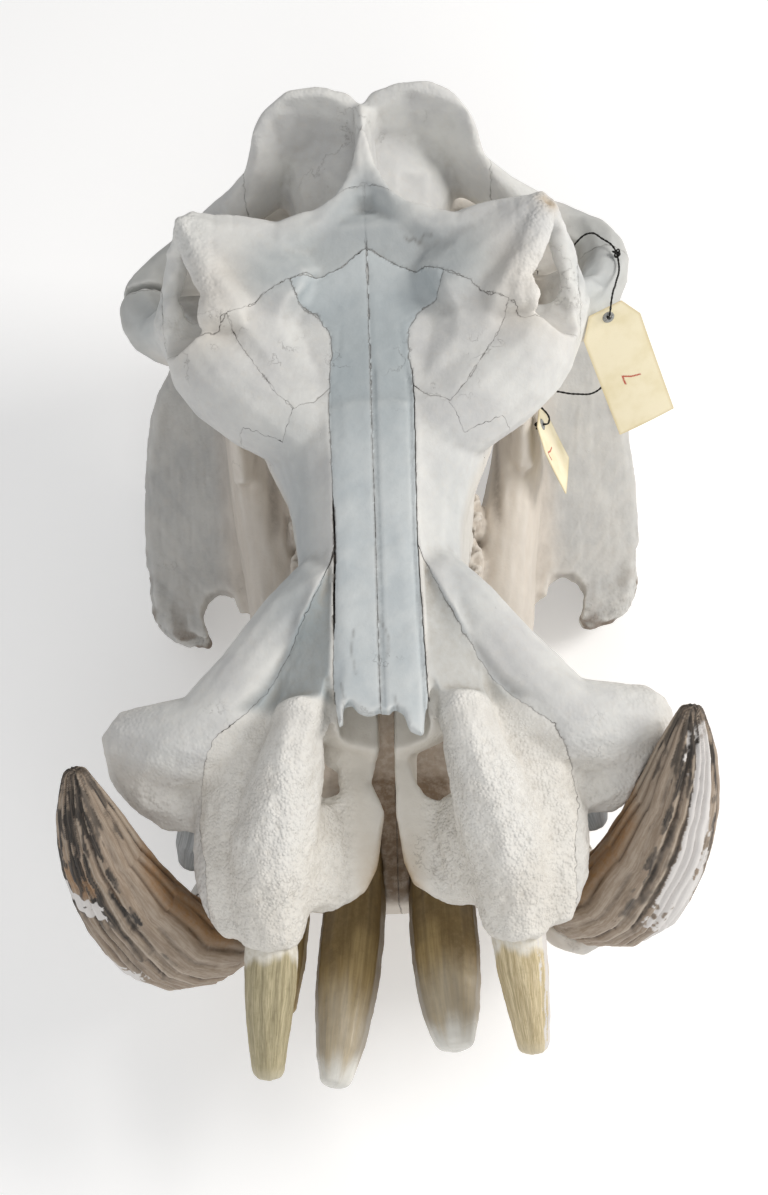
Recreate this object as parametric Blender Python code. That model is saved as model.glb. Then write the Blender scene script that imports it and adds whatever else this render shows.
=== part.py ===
"""Skull of a large male common hippopotamus, jaws closed, resting on its mandible.

Anatomical places are given in millimetres as (x, back, up): x to the animal's left from the
midline, back from the front of the premaxillae, and up from the floor that the jaw rests on.
The nose points to -Y. Bones are lofts and blobs fused by a voxel remesh and smoothed, as a
sculptor would block them out, and then parted along the sutures. Teeth are lofts in sockets.
"""

import math

import bmesh
import bpy
import numpy as np
from mathutils import Vector

# Driving dimensions, in millimetres.
MM = 0.001
ORIGIN_BACK = 321.7  # the origin lies this far behind the front of the premaxillae
ORIGIN_SIDE = 4.4  # and this far to the left of the midline, below the middle of the whole object
GAP = 0.3  # clearance between pieces that touch
TUSK_CLEARANCE = 1.0  # between the tusks and the upper jaw that they pass
JOINT_CLEARANCE = 2.0  # between the jaw's rollers and their sockets
OCCLUSAL_UP = 165.0  # height at which the upper and lower cheek teeth meet
ARCH_LEAD = 10.0  # the right cheek arch lies this far ahead of the mean, and the left one behind it
TOOTH_NAMES = [
    "lower_canine", "upper_canine", "upper_incisor_1", "upper_incisor_2", "lower_incisor_1",
    "lower_incisor_2",
]
TOOTH_SWEEP = 0.06  # left teeth lean back and right teeth forward by this share of their distance out

NASAL_FLOOR, NASAL_RISE = 305.5, 0.062  # the underside of the nasals at their tips, and its slope
LACRIMAL_FLOOR = 322.0  # the underside of the lacrimals
FRONTAL_FLOOR = 292.0  # the level at which the frontals part from the palate and the face below
ZYGOMATIC_FLOOR = 232.0

TAG_WIDTH, TAG_LENGTH, SHORT_TAG_LENGTH = 51.0, 124.0, 68.0
TAG_THICK = 0.6
TAG_TAPER, TAG_SHOULDER = 11.0, 20.0  # how far the clipped top corners reach in and down
EYELET_RADIUS, EYELET_DOWN = 2.6, 9.0
STRING_RADIUS, KNOT_RADIUS = 0.9, 3.0

BONE_VOXEL = 3.2
CRANIUM_TRIANGLES = 3600
MANDIBLE_TRIANGLES = 1700


def clear_scene():
    for obj in list(bpy.data.objects):
        bpy.data.objects.remove(obj)


def world(points):
    """Anatomical millimetres, an array of (x, back, up), as world metres."""
    p = np.asarray(points, float).reshape(-1, 3)
    return (p - (ORIGIN_SIDE, ORIGIN_BACK, 0)) * MM


def mesh_object(name, points, faces):
    mesh = bpy.data.meshes.new(name)
    mesh.from_pydata([tuple(p) for p in world(points)], [], [tuple(f) for f in faces])
    bm = bmesh.new()
    bm.from_mesh(mesh)
    bmesh.ops.recalc_face_normals(bm, faces=bm.faces)
    bm.to_mesh(mesh)
    bm.free()
    obj = bpy.data.objects.new(name, mesh)
    bpy.context.scene.collection.objects.link(obj)
    return obj


def ease(value, low, high):
    """Zero below the low value, one above the high one, and smooth between them."""
    t = min(1.0, max(0.0, (value - low) / (high - low)))
    return t * t * (3 - 2 * t)


def spline(rows, steps):
    """A Catmull-Rom curve through the rows, with this many steps between two rows."""
    rows = np.asarray(rows, float)
    padded = np.vstack([2 * rows[0] - rows[1], rows, 2 * rows[-1] - rows[-2]])
    out = []
    for i in range(len(rows) - 1):
        a, b, c, d = padded[i : i + 4]
        for t in np.arange(steps) / steps:
            square, cube = 2 * a - 5 * b + 4 * c - d, 3 * b - a - 3 * c + d
            out.append(0.5 * (2 * b + (c - a) * t + square * t**2 + cube * t**3))
    out.append(rows[-1])
    return np.array(out)


def loft(rings, up=(0, 0, 1), sides=20, steps=4, power=2.0, round_ends=(0.5, 0.5), domes=(25, 50, 72)):
    """A closed tube through rings of (x, back, up, half width, half height).

    The width lies across the path and square to the up direction. The power makes an ellipse
    (2) into a rounded box (3 or 4). Each end closes in a dome that is this share of its ring high,
    with a ring at each of the dome's angles.
    """
    rows = spline(rings, steps)
    centres, halves = rows[:, :3], np.maximum(rows[:, 3:5], 0.5)
    along = np.gradient(centres, axis=0)
    along /= np.linalg.norm(along, axis=1)[:, None]
    sections = []

    def section(centre, tangent, half_width, half_height):
        side = np.cross(tangent, np.asarray(up, float))
        side /= np.linalg.norm(side)
        top = np.cross(side, tangent)
        angle = np.arange(sides) * 2 * math.pi / sides
        c, s = np.cos(angle), np.sin(angle)
        wide = np.sign(c) * np.abs(c) ** (2 / power) * half_width
        high = np.sign(s) * np.abs(s) ** (2 / power) * half_height
        return centre + wide[:, None] * side + high[:, None] * top

    dome = np.sin(np.radians(domes))
    for end, sign, share in ((0, -1, round_ends[0]), (-1, 1, round_ends[1])):
        caps = []
        for reach in dome:
            shrink = math.sqrt(1 - reach**2)
            centre = centres[end] + sign * along[end] * reach * share * halves[end].min()
            caps.append(section(centre, along[end], *(halves[end] * shrink)))
        if sign < 0:
            sections += caps[::-1]
            sections += [section(c, t, *h) for c, t, h in zip(centres, along, halves)]
        else:
            sections += caps
    points = np.vstack(sections)
    count = len(sections)
    faces = []
    for ring in range(count - 1):
        for k in range(sides):
            a, b = ring * sides + k, ring * sides + (k + 1) % sides
            faces += [(a, b, b + sides), (a, b + sides, a + sides)]
    faces.append(tuple(range(sides))[::-1])
    faces.append(tuple(range((count - 1) * sides, count * sides)))
    return points, faces


def blob(centre, radii, turn=(0, 0, 0), rings=10, sides=18):
    """An ellipsoid, turned by degrees about x, back and up."""
    points, faces = [(0, 0, -1)], []
    for i in range(1, rings):
        tilt = math.pi * i / rings
        for k in range(sides):
            a = 2 * math.pi * k / sides
            points.append((math.sin(tilt) * math.cos(a), math.sin(tilt) * math.sin(a), -math.cos(tilt)))
    points.append((0, 0, 1))
    last = len(points) - 1
    for k in range(sides):
        faces.append((0, 1 + (k + 1) % sides, 1 + k))
        faces.append((last, last - sides + k, last - sides + (k + 1) % sides))
    for i in range(rings - 2):
        for k in range(sides):
            a, b = 1 + i * sides + k, 1 + i * sides + (k + 1) % sides
            faces.append((a, b, b + sides, a + sides))
    p = np.array(points) * np.asarray(radii, float)
    for axis, degrees in enumerate(turn):
        c, s = math.cos(math.radians(degrees)), math.sin(math.radians(degrees))
        j, k = [(1, 2), (2, 0), (0, 1)][axis]
        p[:, j], p[:, k] = c * p[:, j] - s * p[:, k], s * p[:, j] + c * p[:, k]
    return p + np.asarray(centre, float), faces


def unchanged(shape):
    """The shape itself, for the left half."""
    return shape


def mirrored(shape):
    points, faces = shape
    return points * (-1, 1, 1), [tuple(f)[::-1] for f in faces]


def both(*shapes):
    """The shapes of one side and their mirror images."""
    return [s for shape in shapes for s in (shape, mirrored(shape))]


def joined(name, shapes):
    """One mesh object with every shape in it, still apart."""
    points, faces, offset = [], [], 0
    for p, f in shapes:
        points.append(p)
        faces += [tuple(i + offset for i in face) for face in f]
        offset += len(p)
    return mesh_object(name, np.vstack(points), faces)


def apply_modifier(obj, kind, **settings):
    modifier = obj.modifiers.new(kind.title(), kind)
    for key, value in settings.items():
        setattr(modifier, key, value)
    bpy.context.view_layer.update()
    graph = bpy.context.evaluated_depsgraph_get()
    mesh = bpy.data.meshes.new_from_object(obj.evaluated_get(graph))
    obj.modifiers.clear()
    old, obj.data = obj.data, mesh
    bpy.data.meshes.remove(old)
    return obj


def fuse(obj, voxel=BONE_VOXEL, smooth=6):
    """Melts the overlapping shapes of an object into one skin with soft joins."""
    apply_modifier(obj, "REMESH", mode="VOXEL", voxel_size=voxel * MM)
    apply_modifier(obj, "SMOOTH", factor=0.5, iterations=smooth)
    return obj


def cut(obj, cutter, operation="DIFFERENCE", solver="MANIFOLD", keep_cutter=False):
    apply_modifier(obj, "BOOLEAN", object=cutter, operation=operation, solver=solver)
    if not keep_cutter:
        bpy.data.objects.remove(cutter)
    return obj


def thin_out(obj, triangles):
    """Collapses edges until about this many triangles are left."""
    apply_modifier(obj, "TRIANGULATE")
    ratio = min(1.0, triangles / len(obj.data.polygons))
    return apply_modifier(obj, "DECIMATE", ratio=ratio)


def rostrum():
    """The long narrow muzzle between the canine processes and the orbits."""
    spine = loft(
        [
            (0, 165, 264, 54, 42),
            (0, 210, 263, 60, 54),
            (0, 290, 263, 63, 60),
            (0, 345, 264, 70, 66),
            (0, 400, 268, 92, 68),
            (0, 450, 272, 104, 68),
            (0, 510, 278, 88, 66),
            (0, 560, 284, 60, 60),
        ],
        power=2.6,
        sides=28,
    )
    alveoli = loft(
        [(48, 235, 222, 16, 28), (52, 330, 213, 18, 33), (59, 400, 211, 20, 34), (64, 480, 212, 22, 32)],
        power=2.6,
    )
    nasals = loft(
        [
            (0, 128, 313, 33, 6), (0, 160, 314, 34, 7), (0, 200, 316, 36, 8), (0, 300, 319, 36, 9),
            (0, 400, 328, 38, 12),
        ],
        power=4,
        round_ends=(0.6, 0.5),
    )
    return [spine, nasals] + both(alveoli)


def canine_processes():
    """The flaring lobes of the maxillae that hold the upper canines."""
    shoulder = loft(
        [
            (40, 266, 286, 28, 34),
            (66, 236, 283, 30, 34),
            (88, 206, 278, 32, 34),
            (108, 181, 274, 33, 34),
            (134, 158, 268, 33, 34),
            (163, 155, 262, 33, 32),
            (188, 158, 258, 28, 28),
        ],
        round_ends=(0.4, 0.9),
    )
    rim = loft(
        [
            (189, 166, 256, 20, 22),
            (192, 146, 248, 20, 24),
            (178, 128, 240, 20, 24),
            (162, 117, 231, 18, 22),
            (148, 112, 224, 14, 18),
        ],
        round_ends=(0.6, 0.5),
    )
    web_rings = [
        (60, 200, 272, 26, 30), (92, 164, 260, 26, 28), (122, 134, 242, 24, 26),
        (138, 112, 226, 16, 20),
    ]
    web = loft(web_rings)
    socket = loft(
        [(112, 170, 232, 32, 30), (138, 138, 220, 30, 30), (148, 114, 208, 24, 22)],
        round_ends=(0.4, 0.3),
    )
    return both(shoulder, rim, web, socket)


def premaxillae():
    """The two rough lobes at the front that hold the upper incisors."""
    ridge = loft(
        [
            (44, 262, 306, 14, 18),
            (50, 200, 301, 16, 24),
            (60, 150, 292, 20, 30),
            (74, 105, 274, 28, 34),
            (86, 62, 248, 32, 34),
            (90, 22, 219, 26, 28),
        ],
        round_ends=(0.4, 0.6),
    )
    side = loft(
        [(92, 160, 262, 26, 28), (112, 112, 244, 28, 32), (121, 66, 230, 26, 28), (113, 30, 214, 20, 20)],
    )
    web = loft([(66, 104, 240, 20, 14), (62, 74, 232, 22, 13), (66, 46, 222, 20, 13)])
    wide_tongue = mirrored(
        loft([(30, 120, 232, 18, 6), (29, 145, 238, 22, 7), (30, 180, 245, 24, 8), (34, 205, 248, 18, 9)])
    )
    narrow_tongue_rings = [
        (13, 130, 226, 9, 6), (14, 160, 232, 9, 7), (16, 190, 242, 9, 7), (28, 215, 248, 13, 9),
    ]
    narrow_tongue = loft(narrow_tongue_rings)
    flank = loft(
        [(60, 104, 250, 22, 9), (57, 80, 243, 25, 10), (58, 50, 230, 23, 10)],
        up=(-0.5, 0, 0.87),
        round_ends=(0.2, 0.5),
    )
    blade_left = [
        (27, 46), (12, 56), (8, 79), (4, 101), (3, 162), (13, 162), (17, 140), (25, 119),
        (37, 110),
    ]
    blade_left += [(46, 119), (54, 138), (76, 120), (76, 40), (44, 38)]
    blade_right = [
        (18, 50), (12, 62), (7, 84), (3, 110), (13, 126), (25, 128), (34, 119), (41, 110),
        (48, 120),
    ]
    blade_right += [(54, 138), (76, 120), (76, 40), (44, 36), (32, 44)]
    blades = [
        prism(blade_left, blade_floor, blade_top),
        mirrored(prism(blade_right, blade_floor, blade_top)),
    ]
    return blades + [wide_tongue, narrow_tongue] + both(ridge, side, web, flank)


def blade_top(back):
    """Height of the thin plates beside the midline, which rise towards the nose."""
    return 222 + 0.27 * (back - 50)


def blade_floor(back):
    """Height of the underside of the same plates."""
    return blade_top(back) - 15


def cheeks():
    """Lacrimals, jugals and the face ahead of the orbits."""
    face = loft(
        [
            (44, 396, 300, 36, 36), (86, 424, 306, 40, 38), (124, 454, 310, 36, 40),
            (142, 484, 314, 28, 38),
        ],
    )
    front_rim = loft(
        [
            (100, 478, 356, 14, 12), (122, 478, 358, 12, 12), (142, 482, 344, 10, 13),
            (158, 500, 326, 10, 14),
        ],
    )
    jugal = loft(
        [
            (104, 432, 276, 22, 28), (136, 462, 284, 22, 32), (158, 494, 290, 15, 30),
            (174, 522, 280, 13, 25),
        ],
    )
    lacrimal = loft(
        [(48, 420, 322, 30, 16), (72, 450, 329, 30, 17), (90, 478, 339, 26, 18), (98, 504, 346, 22, 17)],
    )
    return both(face, lacrimal, front_rim, jugal)


def zygomatic_arches():
    arch = loft(
        [
            (164, 504, 288, 14, 27),
            (180, 528, 266, 20, 26),
            (196, 558, 257, 21, 24),
            (196, 590, 252, 21, 20),
            (176, 616, 250, 20, 17),
            (146, 630, 254, 24, 18),
            (112, 634, 262, 26, 20),
        ],
    )
    glenoid = blob((150, 626, 246), (42, 22, 12))
    shelf = blob((132, 616, 242), (72, 34, 13))
    return both(arch, glenoid, shelf)


def frontals():
    """The roof between the orbits, with the supraorbital horns and the postorbital bars."""
    roof = loft(
        [(0, 455, 318, 84, 22), (0, 500, 322, 100, 22), (0, 540, 330, 96, 24), (0, 562, 340, 60, 26)],
        power=2.6,
        sides=28,
    )
    horn = loft(
        [
            (60, 500, 344, 34, 20), (92, 520, 355, 30, 18), (119, 537, 367, 22, 16),
            (138, 547, 377, 13, 12),
        ],
    )
    brow = loft(
        [
            (102, 480, 356, 12, 13), (118, 498, 365, 12, 13), (131, 520, 372, 12, 13),
            (140, 547, 379, 11, 11),
        ],
    )
    temporal_line = loft(
        [
            (140, 550, 376, 10, 10), (104, 550, 366, 14, 12), (70, 546, 356, 15, 14),
            (38, 560, 354, 14, 16), (6, 596, 356, 12, 18),
        ],
    )
    bar = loft(
        [
            (144, 550, 372, 8, 9),
            (152, 540, 352, 9, 8),
            (157, 529, 338, 9, 8),
            (162, 520, 324, 9, 9),
            (166, 508, 306, 11, 13),
        ],
        up=(0, 1, 0),
    )
    return [roof] + both(horn, brow, temporal_line, bar)


def braincase():
    core = loft(
        [
            (0, 540, 288, 64, 52),
            (0, 590, 278, 56, 54),
            (0, 640, 276, 70, 64),
            (0, 676, 272, 80, 74),
        ],
        power=2.2,
        sides=28,
        round_ends=(0.3, 0.2),
    )
    sagittal = loft(
        [(0, 586, 350, 18, 20), (0, 612, 352, 12, 25), (0, 636, 352, 9, 28), (0, 666, 356, 8, 28)],
    )
    wing = loft(
        [
            (4, 668, 328, 12, 56),
            (38, 674, 324, 10, 67),
            (62, 671, 318, 9, 61),
            (77, 661, 308, 9, 48),
            (90, 649, 299, 9, 35),
            (106, 641, 290, 11, 25),
            (136, 629, 274, 16, 18),
        ],
        power=2.6,
    )
    occiput = blob((0, 684, 276), (100, 16, 72))
    condyle = blob((36, 700, 224), (22, 22, 24), (0, 0, -25))
    basion_rings = [
        (0, 480, 226, 40, 22), (0, 560, 228, 34, 24), (0, 640, 232, 42, 26), (0, 694, 228, 40, 18),
    ]
    basion = loft(basion_rings)
    bulla = blob((62, 628, 214), (17, 24, 22))
    paroccipital_rings = [
        (84, 664, 250, 18, 14), (84, 660, 215, 13, 11), (80, 654, 186, 7, 8),
    ]
    paroccipital = loft(paroccipital_rings, up=(0, 1, 0))
    pterygoid = loft([(40, 505, 230, 8, 22), (42, 530, 212, 7, 24), (44, 552, 196, 5, 14)])
    return [core, sagittal, occiput, basion] + both(wing, condyle, bulla, paroccipital, pterygoid)


def cranium_cutters():
    """What is hollow: nasal passage, orbits, temporal hollows, foramen magnum and incisive foramina."""
    passage_rings = [
        (0, 96, 280, 30, 22), (0, 130, 281, 32, 27), (0, 200, 283, 36, 28), (0, 310, 287, 34, 27),
    ]
    passage = loft(passage_rings, power=3)
    cleft_rings = [
        (0, 10, 240, 6, 60), (0, 70, 240, 3.5, 60), (0, 120, 240, 5, 60), (0, 205, 240, 7, 60),
    ]
    cleft = loft(cleft_rings, power=3)
    orbit = loft(
        [
            (210, 460, 350, 34, 30),
            (168, 476, 347, 30, 28),
            (140, 490, 342, 26, 25),
            (114, 509, 330, 22, 20),
            (88, 526, 318, 13, 13),
        ]
    )
    cup = blob((177, 580, 290), (19, 22, 24))
    hollow = blob((60, 609, 372), (50, 48, 62), (8, 0, 0))
    side_hollow = blob((94, 600, 362), (40, 40, 58), (8, 0, 0))
    foramen = loft([(44, 150, 290, 9, 14), (44, 132, 250, 9, 13), (46, 122, 200, 9, 12)], up=(0, 1, 0))
    magnum = loft([(0, 740, 252, 24, 22), (0, 690, 254, 21, 19), (0, 640, 258, 16, 15)])
    return [passage, cleft, magnum] + both(orbit, cup, hollow, side_hollow, foramen)


def cranium():
    body = joined(
        "cranium",
        rostrum()
        + canine_processes()
        + premaxillae()
        + cheeks()
        + zygomatic_arches()
        + frontals()
        + braincase(),
    )
    fuse(body, smooth=5)
    for shape in cranium_cutters():
        cut(body, joined("cutter", [shape]))
    fuse(body, smooth=3)
    return body


def mandible_bodies():
    chin = loft(
        [
            (0, 84, 112, 92, 14), (0, 106, 88, 112, 40), (0, 140, 60, 118, 62),
            (0, 180, 52, 98, 54), (0, 225, 58, 80, 46), (0, 270, 64, 72, 34),
        ],
        power=3,
        sides=32,
    )
    alveolus = loft(
        [(104, 150, 64, 36, 60), (128, 96, 80, 38, 50), (144, 64, 98, 36, 38), (150, 56, 110, 32, 26)],
        round_ends=(0.5, 0.2),
    )
    body = loft(
        [
            (88, 150, 60, 32, 56),
            (84, 230, 68, 30, 60),
            (90, 310, 74, 32, 62),
            (100, 380, 84, 30, 66),
            (115, 450, 100, 25, 72),
            (125, 520, 124, 20, 82),
        ],
        power=2.6,
        sides=24,
    )
    return [chin] + both(alveolus, body)


def rami():
    plate = loft([(126, 500, 150, 16, 60), (136, 550, 160, 15, 66), (142, 575, 162, 12, 56)])
    coronoid = loft(
        [
            (120, 450, 160, 12, 34), (122, 490, 200, 10, 36), (126, 530, 238, 9, 32),
            (130, 556, 270, 7, 16),
        ],
        up=(0, 1, 0),
    )
    neck = loft([(148, 582, 130, 24, 34), (154, 600, 176, 25, 24), (152, 606, 204, 24, 14)], up=(0, 1, 0))
    return both(plate, coronoid, neck, condyle())


def condyle(grow=0.0):
    """The joint roller of the mandible, or a slightly larger one that shapes its socket."""
    rings = [(116, 610, 216, 10, 9), (148, 608, 220, 14, 11), (182, 604, 216, 10, 9)]
    return loft(grown(rings, grow))


def flanges():
    """The everted angles, whose front corners curl inward as hooks."""
    slope = (0.93, 0, -0.37)
    sheet = loft(
        [
            (192, 362, 48, 6, 30),
            (175, 388, 66, 9, 54),
            (171, 440, 92, 10, 60),
            (169, 500, 110, 10, 60),
            (166, 550, 128, 9, 54),
            (156, 590, 150, 8, 36),
        ],
        up=slope,
        power=2.8,
        sides=28,
        round_ends=(0.4, 0.5),
    )
    rim = loft(
        [
            (170, 350, 33, 7, 8),
            (187, 354, 35, 9, 12),
            (204, 365, 38, 10, 17),
            (214, 388, 38, 9, 26),
            (215, 440, 38, 7, 44),
            (215, 500, 50, 7, 50),
            (209, 545, 80, 7, 42),
            (196, 580, 110, 8, 28),
        ],
    )
    return both(sheet, rim)


def mandible_cutters():
    """The round notches between the hooks and the jaw, and the channel between the two halves."""
    round_end = arc((156, 364), (17, 17), 195, -40, 10)
    notch = prism([(134, 342), *round_end, (163, 343), (160, 290), (128, 290)], -40.0, 130.0)
    return both(notch)


def mandible():
    body = joined("mandible", mandible_bodies() + rami() + flanges())
    fuse(body, smooth=5)
    for shape in mandible_cutters():
        cut(body, joined("cutter", [shape]))
    fuse(body, smooth=2)
    return body


def grown(rings, by):
    """The same rings, wider and longer by this much all round."""
    rows = [list(map(float, ring)) for ring in rings]
    for row in rows:
        row[3] += by
        row[4] += by
    for end, beside in ((0, 1), (-1, -2)):
        away = Vector(rows[end][:3]) - Vector(rows[beside][:3])
        rows[end][:3] = Vector(rows[end][:3]) + away.normalized() * by
    return rows


def tooth_rings():
    """The free-standing teeth of the left side: rings from root to tip, and how each is lofted."""
    lower_canine = [
        (112, 128, 78, 22, 26),
        (134, 84, 94, 31, 35),
        (156, 51, 125, 33, 40),
        (176, 46, 162, 32, 45),
        (197, 63, 204, 29, 40),
        (211, 87, 246, 25, 32),
        (218, 112, 282, 18, 21),
        (221, 131, 306, 7, 9),
    ]
    upper_canine = [
        (126, 160, 236, 18, 18), (141, 128, 218, 18, 18), (150, 106, 201, 16, 16),
        (154, 96, 191, 11, 11),
    ]
    upper_first = [
        (88, 60, 226, 16, 16), (91, 8, 208, 20, 19), (95, -32, 188, 17, 16),
        (98, -62, 166, 12, 11),
    ]
    upper_second = [(112, 74, 214, 10, 10), (118, 56, 192, 10, 10), (121, 48, 168, 7, 7)]
    lower_first = [
        (33, 140, 104, 20, 20),
        (35, 70, 120, 25, 24),
        (40, 12, 134, 25, 22),
        (46, -42, 142, 19, 17),
        (50, -69, 144, 12, 11),
    ]
    lower_first_left = [
        (33, 140, 104, 20, 20),
        (34, 72, 120, 26, 24),
        (36, 22, 134, 27, 23),
        (38, -26, 142, 22, 19),
        (40, -50, 144, 15, 13),
    ]
    lower_second = [
        (82, 130, 100, 11, 11), (84, 70, 112, 13, 13), (86, 25, 126, 12, 11), (88, -10, 136, 8, 8),
    ]
    upright = (0, 1, 0)
    return {
        "lower_canine": (lower_canine, {"up": (-0.85, 0.1, 0.5), "sides": 12, "steps": 2, "power": 2.3}),
        "upper_canine": (upper_canine, {"up": upright, "sides": 12, "steps": 1, "domes": (35, 65)}),
        "upper_incisor_1": (upper_first, {"sides": 12, "steps": 2, "domes": (35, 65)}),
        "upper_incisor_2": (upper_second, {"up": upright, "sides": 10, "steps": 1, "domes": (50,)}),
        "lower_incisor_1": (lower_first, {"sides": 12, "steps": 2, "domes": (35, 65)}),
        "lower_incisor_1_l": (lower_first_left, {"sides": 12, "steps": 2, "domes": (35, 65)}),
        "lower_incisor_2": (lower_second, {"sides": 10, "steps": 1, "domes": (50,)}),
    }


def cheek_teeth(upper):
    """The premolars and molars of one side, their worn faces flat at the occlusal level."""
    lengths = (30, 32, 34, 42, 46, 44)
    front, rise = (244, 1) if upper else (238, -1)
    shapes = []
    for i, length in enumerate(lengths):
        back = front + sum(lengths[:i]) + length / 2
        along = (back - front) / 230
        x = 57 + 7 * along if upper else 67 + 9 * along
        half = (10.5 if i < 3 else 14) if upper else (9 if i < 3 else 11.5)
        face = OCCLUSAL_UP + rise * GAP / 2
        rings = [
            (x, back, face + rise * 46, half * 0.6, length * 0.36),
            (x, back, face + rise * 20, half, length * 0.46),
            (x, back, face, half * 0.85, length * 0.44),
        ]
        options = {"up": (0, 1, 0), "sides": 8, "steps": 1, "power": 2.6}
        shapes.append(loft(rings, round_ends=(0.5, 0), domes=(), **options))
    return both(*shapes)


def offset_outline(outline, by):
    """Moves each side of a closed outline outward by this much, with mitred corners."""
    points = [Vector(p) for p in outline]
    area = sum(a.x * b.y - b.x * a.y for a, b in zip(points, points[1:] + points[:1]))
    turn = 1 if area > 0 else -1
    out = []
    for before, here, after in zip(points[-1:] + points[:-1], points, points[1:] + points[:1]):
        first, second = (here - before).normalized(), (after - here).normalized()
        normal_1, normal_2 = Vector((first.y, -first.x)) * turn, Vector((second.y, -second.x)) * turn
        mitre = (normal_1 + normal_2) / max(0.4, 1 + normal_1.dot(normal_2))
        out.append(here + mitre * by)
    return out


def prism(outline, low, high):
    """A closed vertical block over an outline of (x, back). Low and high may be functions of back."""
    count = len(outline)
    height = lambda limit, back: limit(back) if callable(limit) else limit
    points = [(p[0], p[1], height(low, p[1])) for p in outline]
    points += [(p[0], p[1], height(high, p[1])) for p in outline]
    faces = [tuple(range(count))[::-1], tuple(range(count, 2 * count))]
    faces += [(i, (i + 1) % count, (i + 1) % count + count, i + count) for i in range(count)]
    return np.array(points, float), faces


def copy_of(obj, name):
    other = bpy.data.objects.new(name, obj.data.copy())
    bpy.context.scene.collection.objects.link(other)
    return other


def largest_piece(obj):
    """Drops every closed surface but the one with the most faces."""
    bm = bmesh.new()
    bm.from_mesh(obj.data)
    islands, left = [], set(bm.verts)
    while left:
        island, edge = set(), [left.pop()]
        while edge:
            vert = edge.pop()
            island.add(vert)
            for link in vert.link_edges:
                other = link.other_vert(vert)
                if other in left:
                    left.remove(other)
                    edge.append(other)
        islands.append(island)
    islands.sort(key=len)
    loose = [v for island in islands[:-1] for v in island]
    bmesh.ops.delete(bm, geom=loose, context="VERTS")
    bm.to_mesh(obj.data)
    bm.free()
    return obj


def lead(obj):
    """Shifts the hind part of the cheek arches, one forward and one back, as on this skull."""
    for v in obj.data.vertices:
        side, back = v.co.x / MM + ORIGIN_SIDE, v.co.y / MM + ORIGIN_BACK
        share = ease(abs(side), 140, 205) * ease(back, 490, 550)
        v.co.y += math.copysign(ARCH_LEAD * share, side) * MM
    return obj


def carve_bone(body, name, outline, low, high=500.0):
    """Takes the bone under an outline out of the body, on both sides, with the gap between."""
    raised = (lambda back: low(back) + GAP) if callable(low) else low + GAP
    for suffix, flip in (("_l", unchanged), ("_r", mirrored)):
        bone = copy_of(body, name + suffix)
        inner = flip(prism(offset_outline(outline, -GAP / 2), raised, high))
        outer = flip(prism(offset_outline(outline, GAP / 2), low, high))
        cut(bone, lead(joined("cutter", [inner])), "INTERSECT")
        cut(body, lead(joined("cutter", [outer])))
        largest_piece(bone)


def arc(centre, radii, start, stop, count):
    """Points along part of an ellipse in plan, from one angle in degrees to another."""
    angles = np.radians(np.linspace(start, stop, count))
    return [(centre[0] + radii[0] * math.cos(a), centre[1] + radii[1] * math.sin(a)) for a in angles]


# The broken front edges of the nasals, as (x, back) from the midline outward.
NASAL_FRONT_LEFT = [(0, 150), (5, 149), (9, 154), (16, 150), (20, 136), (28, 132), (33, 136)]
NASAL_FRONT_RIGHT = [(0, 152), (9, 149), (16, 152), (22, 160), (27, 156), (28, 143), (33, 137)]


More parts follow.
